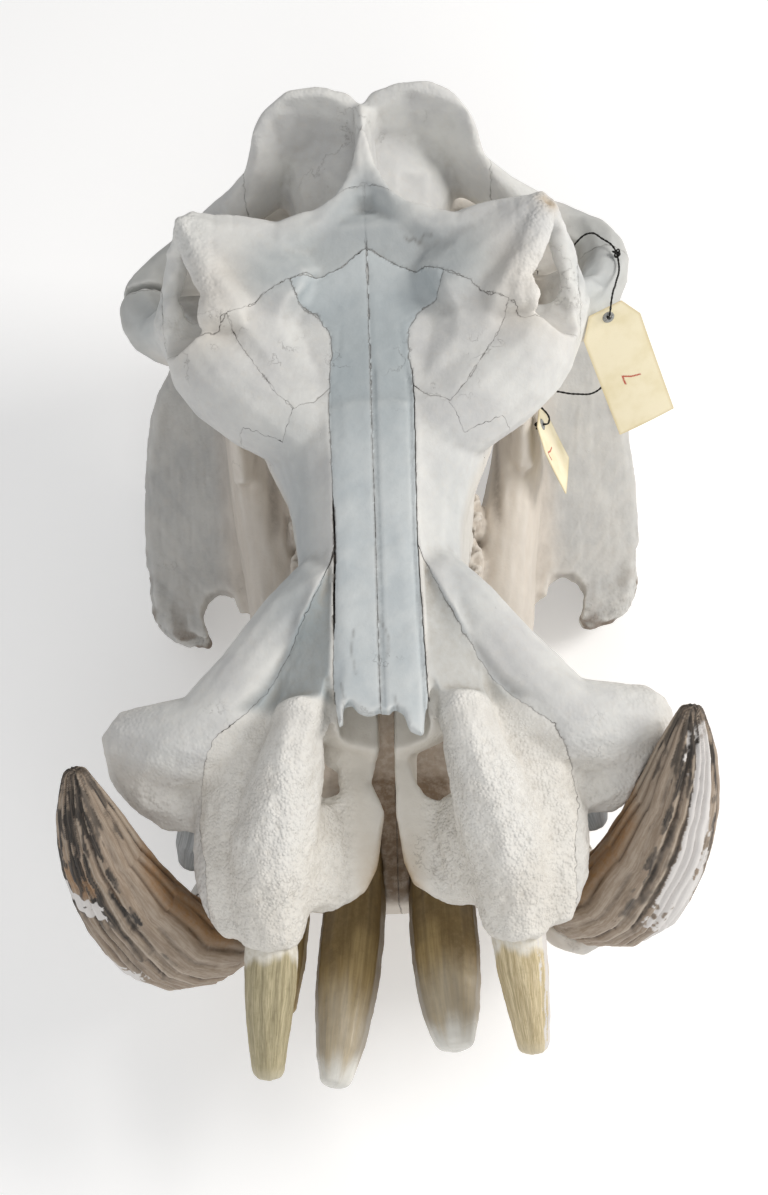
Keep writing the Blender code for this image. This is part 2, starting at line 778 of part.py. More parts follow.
def part_cranium(skull):
    """Parts the skull along its sutures, as they run when seen from above."""
    midline = prism([(-GAP / 2, -60), (GAP / 2, -60), (GAP / 2, 580), (-GAP / 2, 580)], -50, 500)
    nasal_edge = [(36, 110), (33, 200), (31, 281), (33, 401), (35, 430), (42, 462), (54, 488), (66, 502)]
    nasal_back = [(40, 522), (14, 541), (GAP / 2, 547)]
    lacrimal = [
        (54, 488), (66, 502), (82, 489), (98, 474), (109, 470), (100, 452), (88, 434), (74, 412),
        (60, 398),
    ]
    lacrimal += [(44, 404), (35, 422), (35, 430), (42, 462)]
    premaxilla_edge = [
        (31, 281), (41, 255), (50, 235), (64, 207), (80, 180), (102, 159), (124, 143), (136, 120),
    ]
    premaxilla_edge += [(139, 96), (134, 60), (134, -40)]
    braincase_edge = [(0, 588), (12, 583), (36, 570), (60, 572), (120, 590), (170, 580), (240, 572)]
    frontal = [
        (0, 547), (14, 541), (40, 522), (66, 502), (82, 489), (98, 474), (109, 470), (122, 462),
        (168, 462),
    ]
    frontal += [(168, 532), (158, 562), (120, 590), (60, 572), (36, 570), (12, 583), (0, 588)]
    jugal = [(60, 398), (70, 377), (101, 392), (120, 380), (240, 420), (240, 572), (170, 580), (120, 590)]
    jugal += [(118, 520), (122, 462), (109, 470), (100, 452), (88, 434), (74, 412)]
    carve_bone(skull, "nasal", [(GAP / 2, 110)] + nasal_edge + nasal_back, nasal_floor)
    halves = (("_l", unchanged, NASAL_FRONT_LEFT), ("_r", mirrored, NASAL_FRONT_RIGHT))
    for suffix, flip, front in halves:
        ahead = prism([(-2, 90), (-2, front[0][1]), *front, (60, front[-1][1]), (60, 90)], 250, 400)
        cut(bpy.data.objects["nasal" + suffix], joined("cutter", [flip(ahead)]))
    brain = copy_of(skull, "braincase")
    behind = [(x, b) for x, b in braincase_edge] + [(240, 800)]
    left = [(-x, b) for x, b in behind[:0:-1]]
    cut(brain, joined("cutter", [prism(offset_outline(left + behind, -GAP / 2), -50, 500)]), "INTERSECT")
    cut(skull, joined("cutter", [prism(offset_outline(left + behind, GAP / 2), -50, 500)]))
    largest_piece(brain)
    carve_bone(brain, "temporal", [(104, 540), (260, 540), (260, 690), (104, 690)], -50.0)
    cut(skull, joined("cutter", [midline]))
    carve_bone(skull, "lacrimal", lacrimal, LACRIMAL_FLOOR)
    carve_bone(skull, "frontal", frontal, FRONTAL_FLOOR)
    carve_bone(skull, "zygomatic", jugal, ZYGOMATIC_FLOOR)
    carve_bone(skull, "premaxilla", [(0, -40), (0, 281)] + premaxilla_edge, -50.0)
    carve_bone(skull, "maxilla", [(0, -40), (240, -40), (240, 640), (0, 640)], -50.0)
    bpy.data.objects.remove(skull)


def nasal_floor(back):
    """Height of the underside of the nasals."""
    return NASAL_FLOOR + (back - 150) * NASAL_RISE


def tag_frame(top, down, across):
    """The middle of a card's top edge, and the directions down it, across it and out of its face."""
    down = Vector(down).normalized()
    across = Vector(across)
    across = (across - down * across.dot(down)).normalized()
    return Vector(top), down, across, across.cross(down)


def tag_card(name, frame, width, length):
    """A stiff paper label with clipped top corners and a round eyelet hole."""
    top, down, across, out = frame
    half = width / 2
    outline = [
        (TAG_TAPER - half, 0),
        (half - TAG_TAPER, 0),
        (half, TAG_SHOULDER),
        (half, length),
        (-half, length),
        (-half, TAG_SHOULDER),
    ]
    points = []
    for side in (-0.5, 0.5):
        points += [tuple(top + across * a + down * d + out * side * TAG_THICK) for a, d in outline]
    count = len(outline)
    faces = [tuple(range(count))[::-1], tuple(range(count, 2 * count))]
    faces += [(i, (i + 1) % count, (i + 1) % count + count, i + count) for i in range(count)]
    card = mesh_object(name, points, faces)
    hole = eyelet(frame)
    rings = [(*(hole + out * reach), EYELET_RADIUS, EYELET_RADIUS) for reach in (-4.0, 0.0, 4.0)]
    cutter = joined("cutter", [loft(rings, up=tuple(across), sides=12, steps=1, domes=())])
    return cut(card, cutter)


def eyelet(frame):
    """The centre of a card's eyelet."""
    return frame[0] + frame[1] * EYELET_DOWN


def string_tube(name, points, closed=False):
    """A round string along a smooth curve, as a closed mesh."""
    curve = bpy.data.curves.new(name, "CURVE")
    curve.dimensions = "3D"
    curve.bevel_depth = STRING_RADIUS * MM
    curve.bevel_resolution = 1
    curve.resolution_u = 2
    curve.use_fill_caps = True
    spline = curve.splines.new("BEZIER")
    spline.bezier_points.add(len(points) - 1)
    for knot, place in zip(spline.bezier_points, world(points)):
        knot.co = place
        knot.handle_left_type = knot.handle_right_type = "AUTO"
    spline.use_cyclic_u = closed
    obj = bpy.data.objects.new(name, curve)
    bpy.context.scene.collection.objects.link(obj)
    bpy.context.view_layer.update()
    mesh = bpy.data.meshes.new_from_object(obj.evaluated_get(bpy.context.evaluated_depsgraph_get()))
    bpy.data.objects.remove(obj)
    bm = bmesh.new()
    bm.from_mesh(mesh)
    bmesh.ops.remove_doubles(bm, verts=bm.verts, dist=0.00001)
    bmesh.ops.recalc_face_normals(bm, faces=bm.faces)
    bm.to_mesh(mesh)
    bm.free()
    tube = bpy.data.objects.new(name, mesh)
    bpy.context.scene.collection.objects.link(tube)
    return tube


def tags():
    """Two paper labels on one string, which is looped round the left cheek arch."""
    first = tag_frame((189.2, 500.2, 303.4), (0.304, -0.297, -0.905), (0.918, 0.345, 0.196))
    second = tag_frame((134.6, 462, 208), (0.355, -0.369, -0.859), (0.127, 0.929, -0.347))
    tag_card("tag_1", first, TAG_WIDTH, TAG_LENGTH)
    tag_card("tag_2", second, TAG_WIDTH, SHORT_TAG_LENGTH)
    hole_1, hole_2 = eyelet(first), eyelet(second)
    loop = [
        (186, 592, 285),
        (195, 589, 281),
        (204, 579, 281),
        (207, 563, 280),
        (201, 532, 293),
        (194.6, 505, 310.5),
        tuple(hole_1 - first[3] * 4.5 - first[1] * 3),
        tuple(hole_1),
        tuple(hole_1 + first[3] * 6),
        (199, 504, 268),
        (205, 514, 244),
        (201, 538, 226),
        (190, 562, 226),
        (171, 573, 239),
        (166, 582, 258),
        (174, 589, 278),
    ]
    string = string_tube("tag_string", loop, closed=True)
    through = second[3] if second[3].x > 0 else -second[3]
    tail = [
        (190, 562, 226),
        (195, 545, 212),
        (196, 520, 203),
        (194, 500, 198),
        (187, 491, 198),
        (167, 482, 209),
        (148, 484, 212),
        (133, 478, 218),
        tuple(hole_2 + through * 6),
        tuple(hole_2),
        tuple(hole_2 - through * 4),
    ]
    cut(string, string_tube("tail", tail), "UNION")
    for place in ((206, 572, 282), (190, 562, 226), tuple(hole_2 - through * 4)):
        cut(string, joined("knot", [blob(place, (KNOT_RADIUS,) * 3, rings=6, sides=10)]), "UNION")


def finish(obj, name, colour, roughness):
    """Gives an object its own material of this name and sRGB colour."""
    material = bpy.data.materials.get(name) or bpy.data.materials.new(name)
    material.use_nodes = True
    shader = material.node_tree.nodes["Principled BSDF"]
    values = [int(colour[i : i + 2], 16) / 255 for i in (1, 3, 5)]
    linear = [v / 12.92 if v <= 0.04045 else ((v + 0.055) / 1.055) ** 2.4 for v in values]
    shader.inputs["Base Color"].default_value = (*linear, 1.0)
    shader.inputs["Roughness"].default_value = roughness
    shader.inputs["Metallic"].default_value = 0.0
    obj.data.materials.clear()
    obj.data.materials.append(material)


FINISHES = {
    "nasal": ("nasal_bone", "#C9D6DA", 0.75),
    "premaxilla": ("rough_bone", "#E2E0DA", 0.9),
    "mandible": ("jaw_bone", "#CBC4BA", 0.8),
    "lower_canine": ("canine_ivory", "#9A8776", 0.45),
    "upper_canine": ("canine_ivory", "#9A8776", 0.45),
    "upper_incisor": ("incisor_ivory", "#A89F86", 0.4),
    "lower_incisor": ("incisor_ivory", "#A89F86", 0.4),
    "tag_string": ("string", "#15130F", 0.8),
    "tag": ("card", "#F3E3B0", 0.85),
    "": ("skull_bone", "#D9D8D6", 0.8),
}


def main():
    clear_scene()
    skull = cranium()
    jaw = mandible()
    thin_out(skull, CRANIUM_TRIANGLES)
    thin_out(jaw, MANDIBLE_TRIANGLES)
    for bone, upper in ((skull, True), (jaw, False)):
        teeth = cheek_teeth(upper)
        for side in (teeth[0::2], teeth[1::2]):
            for tooth in side:
                cut(bone, joined("cheek tooth", [tooth]), "UNION")
    for shape in both(condyle(JOINT_CLEARANCE)):
        cut(skull, joined("cutter", [shape]))
    table = tooth_rings()
    for name in TOOTH_NAMES:
        for suffix, flip, sweep in (("_l", unchanged, TOOTH_SWEEP), ("_r", mirrored, -TOOTH_SWEEP)):
            rings, options = table.get(name + suffix, table[name])
            swept = [(x, back + sweep * x, *rest) for x, back, *rest in rings]
            joined(name + suffix, [flip(loft(swept, **options))])
            socket = flip(loft(grown(swept, GAP), **options))
            cut(skull if name.startswith("upper") else jaw, joined("cutter", [socket]))
            if name == "lower_canine":
                clearance = flip(loft(grown(swept, TUSK_CLEARANCE), **options))
                cut(skull, joined("cutter", [clearance]))
    floor = prism([(-400, -200), (400, -200), (400, 900), (-400, 900)], -100.0, 0.0)
    cut(jaw, joined("cutter", [floor]))
    lead(skull)
    lead(jaw)
    part_cranium(skull)
    carve_bone(jaw, "mandible", [(0, -60), (300, -60), (300, 700), (0, 700)], -150.0)
    bpy.data.objects.remove(jaw)
    tags()
    for obj in bpy.data.objects:
        family = next(key for key in FINISHES if obj.name.startswith(key))
        finish(obj, *FINISHES[family])


main()
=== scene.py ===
"""The looks of a bleached hippopotamus skull with two paper labels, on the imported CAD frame."""

import logging
import math
from dataclasses import dataclass, field
from enum import Enum
from typing import Iterable, Sequence

import bpy
import numpy as np
from mathutils import Matrix


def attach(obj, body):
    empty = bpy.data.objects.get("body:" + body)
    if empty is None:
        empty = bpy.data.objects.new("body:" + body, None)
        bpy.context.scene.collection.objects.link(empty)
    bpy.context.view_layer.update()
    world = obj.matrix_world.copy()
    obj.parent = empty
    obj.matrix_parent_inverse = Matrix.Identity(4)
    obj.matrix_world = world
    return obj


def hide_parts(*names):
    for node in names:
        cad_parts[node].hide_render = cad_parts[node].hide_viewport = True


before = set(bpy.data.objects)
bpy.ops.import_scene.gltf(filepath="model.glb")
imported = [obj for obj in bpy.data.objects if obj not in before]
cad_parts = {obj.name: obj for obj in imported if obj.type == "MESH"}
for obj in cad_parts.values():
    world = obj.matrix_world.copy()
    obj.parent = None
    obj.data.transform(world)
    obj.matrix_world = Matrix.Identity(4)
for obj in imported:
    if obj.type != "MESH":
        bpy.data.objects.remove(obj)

LOG = logging.getLogger("skull")
MM = 0.001
Array = np.ndarray
Plan = Sequence[tuple[float, float]]

# The skull's own frame is in millimetres: side (positive on the animal's left), back and up.
SIDE_SHIFT = 4.4
BACK_SHIFT = 321.7
ARCH_LEAD = 10.0


class Slot(Enum):
    """The material slots."""

    SKULL = "skull_bone"
    NASAL = "nasal_bone"
    ROUGH = "rough_bone"
    JAW = "jaw_bone"
    CANINE = "canine_ivory"
    INCISOR = "incisor_ivory"
    CARD = "card"
    STRING = "string"


def srgb(code: str) -> tuple[float, float, float, float]:
    """Turns a hex colour into the linear values that a shader takes.

    Args:
        code: A colour such as "#D9D8D6".

    Returns:
        Linear red, green and blue, and an alpha of one.
    """
    parts = [int(code[i : i + 2], 16) / 255 for i in (1, 3, 5)]
    linear = [c / 12.92 if c <= 0.04045 else ((c + 0.055) / 1.055) ** 2.4 for c in parts]
    return (*linear, 1.0)


def ramp(values: Array, start: float, stop: float) -> Array:
    """A smooth step from 0 at start to 1 at stop.

    Args:
        values: Numbers to map.
        start: Where the step begins.
        stop: Where it ends; it may be below start.

    Returns:
        Shares between 0 and 1.
    """
    share = np.clip((values - start) / (stop - start), 0.0, 1.0)
    return share * share * (3.0 - 2.0 * share)


def bell(values: Array, width: float) -> Array:
    """A soft bump of height one around zero.

    Args:
        values: Distances from the middle.
        width: The distance at which the bump has fallen to a third.

    Returns:
        Heights between 0 and 1.
    """
    return np.exp(-((values / width) ** 2))


def lattice(corner: Array, seed: int) -> Array:
    """Repeatable values between -1 and 1 at whole-number corners.

    Args:
        corner: Whole numbers, three to a row.
        seed: Which pattern.

    Returns:
        One value to a row.
    """
    key = corner[:, 0] * 374761393 + corner[:, 1] * 668265263 + corner[:, 2] * 1442695041 + seed * 974634777
    key &= 0xFFFFFFFF
    key = ((key ^ (key >> 13)) * 1274126177) & 0xFFFFFFFF
    return ((key ^ (key >> 16)) & 0xFFFF) / 32767.5 - 1.0


def noise(points: Array, size: float | Sequence[float], seed: int, octaves: int = 1) -> Array:
    """Soft repeatable noise.

    Args:
        points: Places, three to a row.
        size: The size of a feature, in the points' unit, or one size to an axis.
        seed: Which pattern.
        octaves: How many finer layers are added, each half as big and strong.

    Returns:
        One value to a row, mostly between -1 and 1.
    """
    total = np.zeros(len(points))
    strength = 1.0
    scaled = points / np.asarray(size, float)
    for octave in range(octaves):
        place = scaled * 2**octave
        low = np.floor(place).astype(np.int64)
        part = place - low
        part = part**3 * (part * (part * 6 - 15) + 10)
        for corner in range(8):
            step = np.array([corner & 1, corner >> 1 & 1, corner >> 2])
            weight = np.prod(np.where(step, part, 1 - part), axis=1)
            total += strength * weight * lattice(low + step, seed + octave * 17)
        strength *= 0.5
    return total * 1.4


def pits(points: Array, size: float, seed: int, share: float = 1.0) -> Array:
    """The depth of scattered round pits.

    Args:
        points: Places, three to a row.
        size: The spacing of the pits.
        seed: Which pattern.
        share: Which share of the cells has a pit.

    Returns:
        One depth to a row, 1 at a pit's bottom and 0 outside.
    """
    scaled = points / size
    low = np.floor(scaled).astype(np.int64)
    depth = np.zeros(len(points))
    for step in np.ndindex(3, 3, 3):
        cell = low + np.array(step) - 1
        centre = cell + 0.5 + 0.45 * np.stack([lattice(cell, seed + k) for k in (0, 5, 9)], axis=1)
        radius = 0.34 + 0.16 * lattice(cell, seed + 21)
        there = lattice(cell, seed + 33) < share * 2 - 1
        away = np.sqrt(((scaled - centre) ** 2).sum(axis=1)) / radius
        depth = np.maximum(depth, np.where(there, 1 - np.clip(away, 0, 1) ** 2, 0))
    return depth


def path_distance(points: Array, path: Sequence[Sequence[float]]) -> Array:
    """Distance to a line of straight parts.

    Args:
        points: Places, as many numbers to a row as the path has.
        path: The line's corners.

    Returns:
        One distance to a row.
    """
    line = np.asarray(path, float)
    best = np.full(len(points), np.inf)
    for a, b in zip(line[:-1], line[1:]):
        run = b - a
        t = np.clip(((points - a) @ run) / max(run @ run, 1e-9), 0, 1)
        best = np.minimum(best, ((points - a - t[:, None] * run) ** 2).sum(axis=1))
    return np.sqrt(best)


def inside_distance(plan: Array, outline: Plan) -> Array:
    """Signed distance to a closed outline, positive inside.

    Args:
        plan: Places as (side, back).
        outline: The outline's corners.

    Returns:
        One distance to a row.
    """
    ring = np.asarray(list(outline) + [outline[0]], float)
    away = path_distance(plan, ring)
    inside = np.zeros(len(plan), bool)
    for (ax, ay), (bx, by) in zip(ring[:-1], ring[1:]):
        crosses = (plan[:, 1] < ay) != (plan[:, 1] < by)
        with np.errstate(divide="ignore", invalid="ignore"):
            at = ax + (plan[:, 1] - ay) * (bx - ax) / (by - ay)
        inside ^= crosses & (plan[:, 0] < at)
    return np.where(inside, away, -away)


def folded(points: Array) -> Array:
    """Moves places on the right to the same places on the left.

    Args:
        points: Places on the skull in millimetres.

    Returns:
        The places, all on the left.
    """
    return np.column_stack([np.abs(points[:, 0]), points[:, 1:]])


def unled(points: Array) -> Array:
    """Takes the lead of one cheek arch over the other out of the places.

    Args:
        points: Places on the skull in millimetres.

    Returns:
        The places on a skull with even arches.
    """
    even = points.copy()
    for _ in range(3):
        share = ramp(np.abs(even[:, 0]), 140, 205) * ramp(even[:, 1], 490, 550)
        even[:, 1] = points[:, 1] - np.sign(points[:, 0]) * ARCH_LEAD * share
    return even


def read(items: bpy.types.bpy_prop_collection, key: str, width: int = 1, kind: type = float) -> Array:
    """Reads one property of every item of a Blender collection.

    Args:
        items: The collection.
        key: The property's name.
        width: How many numbers an item has.
        kind: The type of the numbers.

    Returns:
        All the numbers in one row.
    """
    data = np.empty(len(items) * width, kind)
    items.foreach_get(key, data)
    return data


@dataclass
class Surface:
    """A triangle mesh in the skull's own millimetres, with named values at its points."""

    points: Array
    faces: Array
    links: Array
    values: dict[str, Array] = field(default_factory=dict)

    @classmethod
    def from_nodes(cls, names: Iterable[str], voxel: float) -> "Surface":
        """Melts CAD nodes into one even skin.

        Args:
            names: The nodes.
            voxel: The size of its squares in millimetres.

        Returns:
            The skin.
        """
        corners, loops, totals, offset = [], [], [], 0
        for name in names:
            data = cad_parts[name].data
            corners.append(read(data.vertices, "co", 3).reshape(-1, 3))
            loops.append(read(data.loops, "vertex_index", kind=np.int32) + offset)
            totals.append(read(data.polygons, "loop_total", kind=np.int32))
            offset += len(data.vertices)
        loop, total = np.concatenate(loops), np.concatenate(totals)
        ends = np.cumsum(total)
        mesh = bpy.data.meshes.new("skin")
        polygons = [loop[e - t : e].tolist() for e, t in zip(ends, total)]
        mesh.from_pydata(np.vstack(corners).tolist(), [], polygons)
        source = bpy.data.objects.new("skin", mesh)
        bpy.context.scene.collection.objects.link(source)
        modifier = source.modifiers.new("Even", "REMESH")
        modifier.mode = "VOXEL"
        modifier.voxel_size = voxel * MM
        bpy.context.view_layer.update()
        graph = bpy.context.evaluated_depsgraph_get()
        even = bpy.data.meshes.new_from_object(source.evaluated_get(graph))
        bpy.data.objects.remove(source)
        surface = cls.from_mesh(even)
        bpy.data.meshes.remove(even)
        bpy.data.meshes.remove(mesh)
        return surface

    @classmethod
    def from_mesh(cls, mesh: bpy.types.Mesh) -> "Surface":
        """Reads a Blender mesh of triangles and squares.

        Args:
            mesh: The mesh, in metres in the shared frame.

        Returns:
            Its surface in the skull's millimetres.
        """
        points = read(mesh.vertices, "co", 3).reshape(-1, 3) / MM + (SIDE_SHIFT, BACK_SHIFT, 0)
        links = read(mesh.edges, "vertices", 2, np.int32)
        loop = read(mesh.loops, "vertex_index", kind=np.int32)
        total = read(mesh.polygons, "loop_total", kind=np.int32)
        start = np.cumsum(total) - total
        three, four = start[total == 3], start[total == 4]
        faces = [loop[three[:, None] + (0, 1, 2)], loop[four[:, None] + (0, 1, 2)]]
        faces.append(loop[four[:, None] + (0, 2, 3)])
        return cls(points, np.vstack(faces), links.reshape(-1, 2))

    def _mean_of_neighbours(self, data: Array) -> Array:
        """The mean of each point's neighbours.

        Args:
            data: One row to a point.

        Returns:
            As many rows.
        """
        count = len(self.points)
        a, b = self.links[:, 0], self.links[:, 1]
        degree = np.bincount(a, minlength=count) + np.bincount(b, minlength=count)
        columns = []
        for column in np.atleast_2d(data.T):
            total = np.bincount(a, column[b], count) + np.bincount(b, column[a], count)
            columns.append(total / np.maximum(degree, 1))
        return np.stack(columns, axis=1).reshape(data.shape)

    def smooth(self, rounds: int, hold: Array | None = None) -> None:
        """Takes out facets without shrinking the shape.

        Args:
            rounds: How many times.
            hold: Where the shape is kept, 1 at a point that doesn't move.
        """
        free = 1.0 if hold is None else (1 - hold)[:, None]
        for _ in range(rounds):
            for pull in (0.6, -0.62):
                self.points = self.points + pull * free * (
                    self._mean_of_neighbours(self.points) - self.points
                )

    def normals(self) -> Array:
        """The directions out of the surface.

        Returns:
            A unit direction to a point.
        """
        p = self.points
        a, b, c = p[self.faces[:, 0]], p[self.faces[:, 1]], p[self.faces[:, 2]]
        out = np.cross(b - a, c - a)
        total = np.zeros_like(p)
        for column in range(3):
            for corner in range(3):
                total[:, column] += np.bincount(self.faces[:, corner], out[:, column], len(p))
        return total / np.maximum(np.linalg.norm(total, axis=1, keepdims=True), 1e-12)

    def push(self, amount: Array) -> None:
        """Moves the surface out along its own directions.

        Args:
            amount: Millimetres to a point; inward where it is negative.
        """
        self.points = self.points + self.normals() * amount[:, None]

    def hollowness(self, rounds: int, depth: float) -> Array:
        """How far each point lies in a hollow.

        Args:
            rounds: How wide a neighbourhood counts.
            depth: The depth in millimetres that counts as one.

        Returns:
            Numbers from -1 on a ridge to 1 in a hollow.
        """
        soft = self.points
        for _ in range(rounds):
            soft = 0.4 * soft + 0.6 * self._mean_of_neighbours(soft)
        return np.clip(((soft - self.points) * self.normals()).sum(axis=1) / depth, -1, 1)

    def clipped(self, level: Array) -> "Surface":
        """The part of the surface where the level is above zero, cut cleanly along zero.

        Args:
            level: One number to a point.

        Returns:
            The part.
        """
        keep = level > 0
        state = keep[self.faces]
        count = state.sum(axis=1)
        pieces = [self.faces[count == 3]]
        names = list(self.values)
        table = np.column_stack([self.points] + [self.values[n] for n in names])
        lone_kept, lone_lost = self.faces[count == 1], self.faces[count == 2]
        turn_kept = np.argmax(state[count == 1], axis=1) if len(lone_kept) else np.zeros(0, int)
        turn_lost = np.argmin(state[count == 2], axis=1) if len(lone_lost) else np.zeros(0, int)
        kept = np.take_along_axis(lone_kept, (turn_kept[:, None] + (0, 1, 2)) % 3, axis=1)
        lost = np.take_along_axis(lone_lost, (turn_lost[:, None] + (0, 1, 2)) % 3, axis=1)
        crossing = np.vstack([kept[:, [0, 1]], kept[:, [0, 2]], lost[:, [1, 0]], lost[:, [2, 0]]])
        order = np.sort(crossing, axis=1)
        unique, back = np.unique(
            order[:, 0].astype(np.int64) * len(table) + order[:, 1], return_inverse=True
        )
        low, high = unique // len(table), unique % len(table)
        share = level[low] / (level[low] - level[high])
        fresh = table[low] + share[:, None] * (table[high] - table[low])
        if "join" in names:
            # The cut itself takes the full darkness of the suture there.
            seam, join = 3 + names.index("seam"), 3 + names.index("join")
            fresh[:, seam] = np.maximum(fresh[:, seam], fresh[:, join])
        at = back.reshape(-1) + len(table)
        k, m = len(kept), len(lost)
        ab, ac, bc, ca = at[:k], at[k : 2 * k], at[2 * k : 2 * k + m], at[2 * k + m :]
        pieces.append(np.column_stack([kept[:, 0], ab, ac]))
        pieces.append(np.column_stack([lost[:, 1], lost[:, 2], bc]))
        pieces.append(np.column_stack([lost[:, 2], ca, bc]))
        faces = np.vstack(pieces)
        table = np.vstack([table, fresh])
        used, faces = np.unique(faces.reshape(-1), return_inverse=True)
        table = table[used]
        values = {name: table[:, 3 + i] for i, name in enumerate(names)}
        return Surface(table[:, :3], faces.reshape(-1, 3), np.zeros((0, 2), int), values)

    def with_lip(self, depth: float) -> "Surface":
        """Adds an inward wall along every open edge.

        Args:
            depth: How deep the wall is, in millimetres.

        Returns:
            The surface with its walls.
        """
        edges = np.vstack([self.faces[:, [0, 1]], self.faces[:, [1, 2]], self.faces[:, [2, 0]]])
        ordered = np.sort(edges, axis=1)
        key = ordered[:, 0].astype(np.int64) * len(self.points) + ordered[:, 1]
        _, first, count = np.unique(key, return_index=True, return_counts=True)
        rim = edges[first[count == 1]]
        if not len(rim):
            return self
        used, rim = np.unique(rim.reshape(-1), return_inverse=True)
        rim = rim.reshape(-1, 2)
        inward = self.normals()[used]
        deep = self.points[used] - inward * depth
        top, low = len(self.points), len(self.points) + len(used)
        a, b = rim[:, 0], rim[:, 1]
        walls = np.vstack(
            [np.column_stack([b + top, a + top, a + low]), np.column_stack([b + top, a + low, b + low])]
        )
        values = {n: np.concatenate([v, v[used], v[used]]) for n, v in self.values.items()}
        if "seam" in values:
            values["seam"][top:] = 0.3 + 0.7 * values["join"][top:]
        points = np.vstack([self.points, self.points[used], deep])
        return Surface(points, np.vstack([self.faces, walls]), self.links, values)

    def as_object(self, name: str, material: bpy.types.Material) -> bpy.types.Object:
        """Makes a Blender object of the surface.

        Args:
            name: Its name.
            material: Its material.

        Returns:
            The object, at the origin, in metres.
        """
        mesh = bpy.data.meshes.new(name)
        place = (self.points - (SIDE_SHIFT, BACK_SHIFT, 0)) * MM
        mesh.vertices.add(len(place))
        mesh.vertices.foreach_set("co", place.reshape(-1))
        mesh.loops.add(self.faces.size)
        mesh.loops.foreach_set("vertex_index", self.faces.reshape(-1).astype(np.int32))
        mesh.polygons.add(len(self.faces))
        mesh.polygons.foreach_set("loop_start", np.arange(0, self.faces.size, 3, dtype=np.int32))
        mesh.update(calc_edges=True)
        mesh.validate()
        mesh.shade_smooth()
        for key, value in self.values.items():
            layer = mesh.attributes.new(key, "FLOAT", "POINT")
            layer.data.foreach_set("value", value.astype(np.float32))
        mesh.materials.append(material)
        piece = bpy.data.objects.new(name, mesh)
        bpy.context.scene.collection.objects.link(piece)
        return piece


NODE_KINDS = {
    "attribute": "ShaderNodeAttribute",
    "bump": "ShaderNodeBump",
    "combine": "ShaderNodeCombineXYZ",
    "coordinates": "ShaderNodeTexCoord",
    "math": "ShaderNodeMath",
    "mix": "ShaderNodeMix",
    "noise": "ShaderNodeTexNoise",
    "ramp": "ShaderNodeMapRange",
    "scale": "ShaderNodeVectorMath",
    "cells": "ShaderNodeTexVoronoi",
}
Socket = bpy.types.NodeSocket


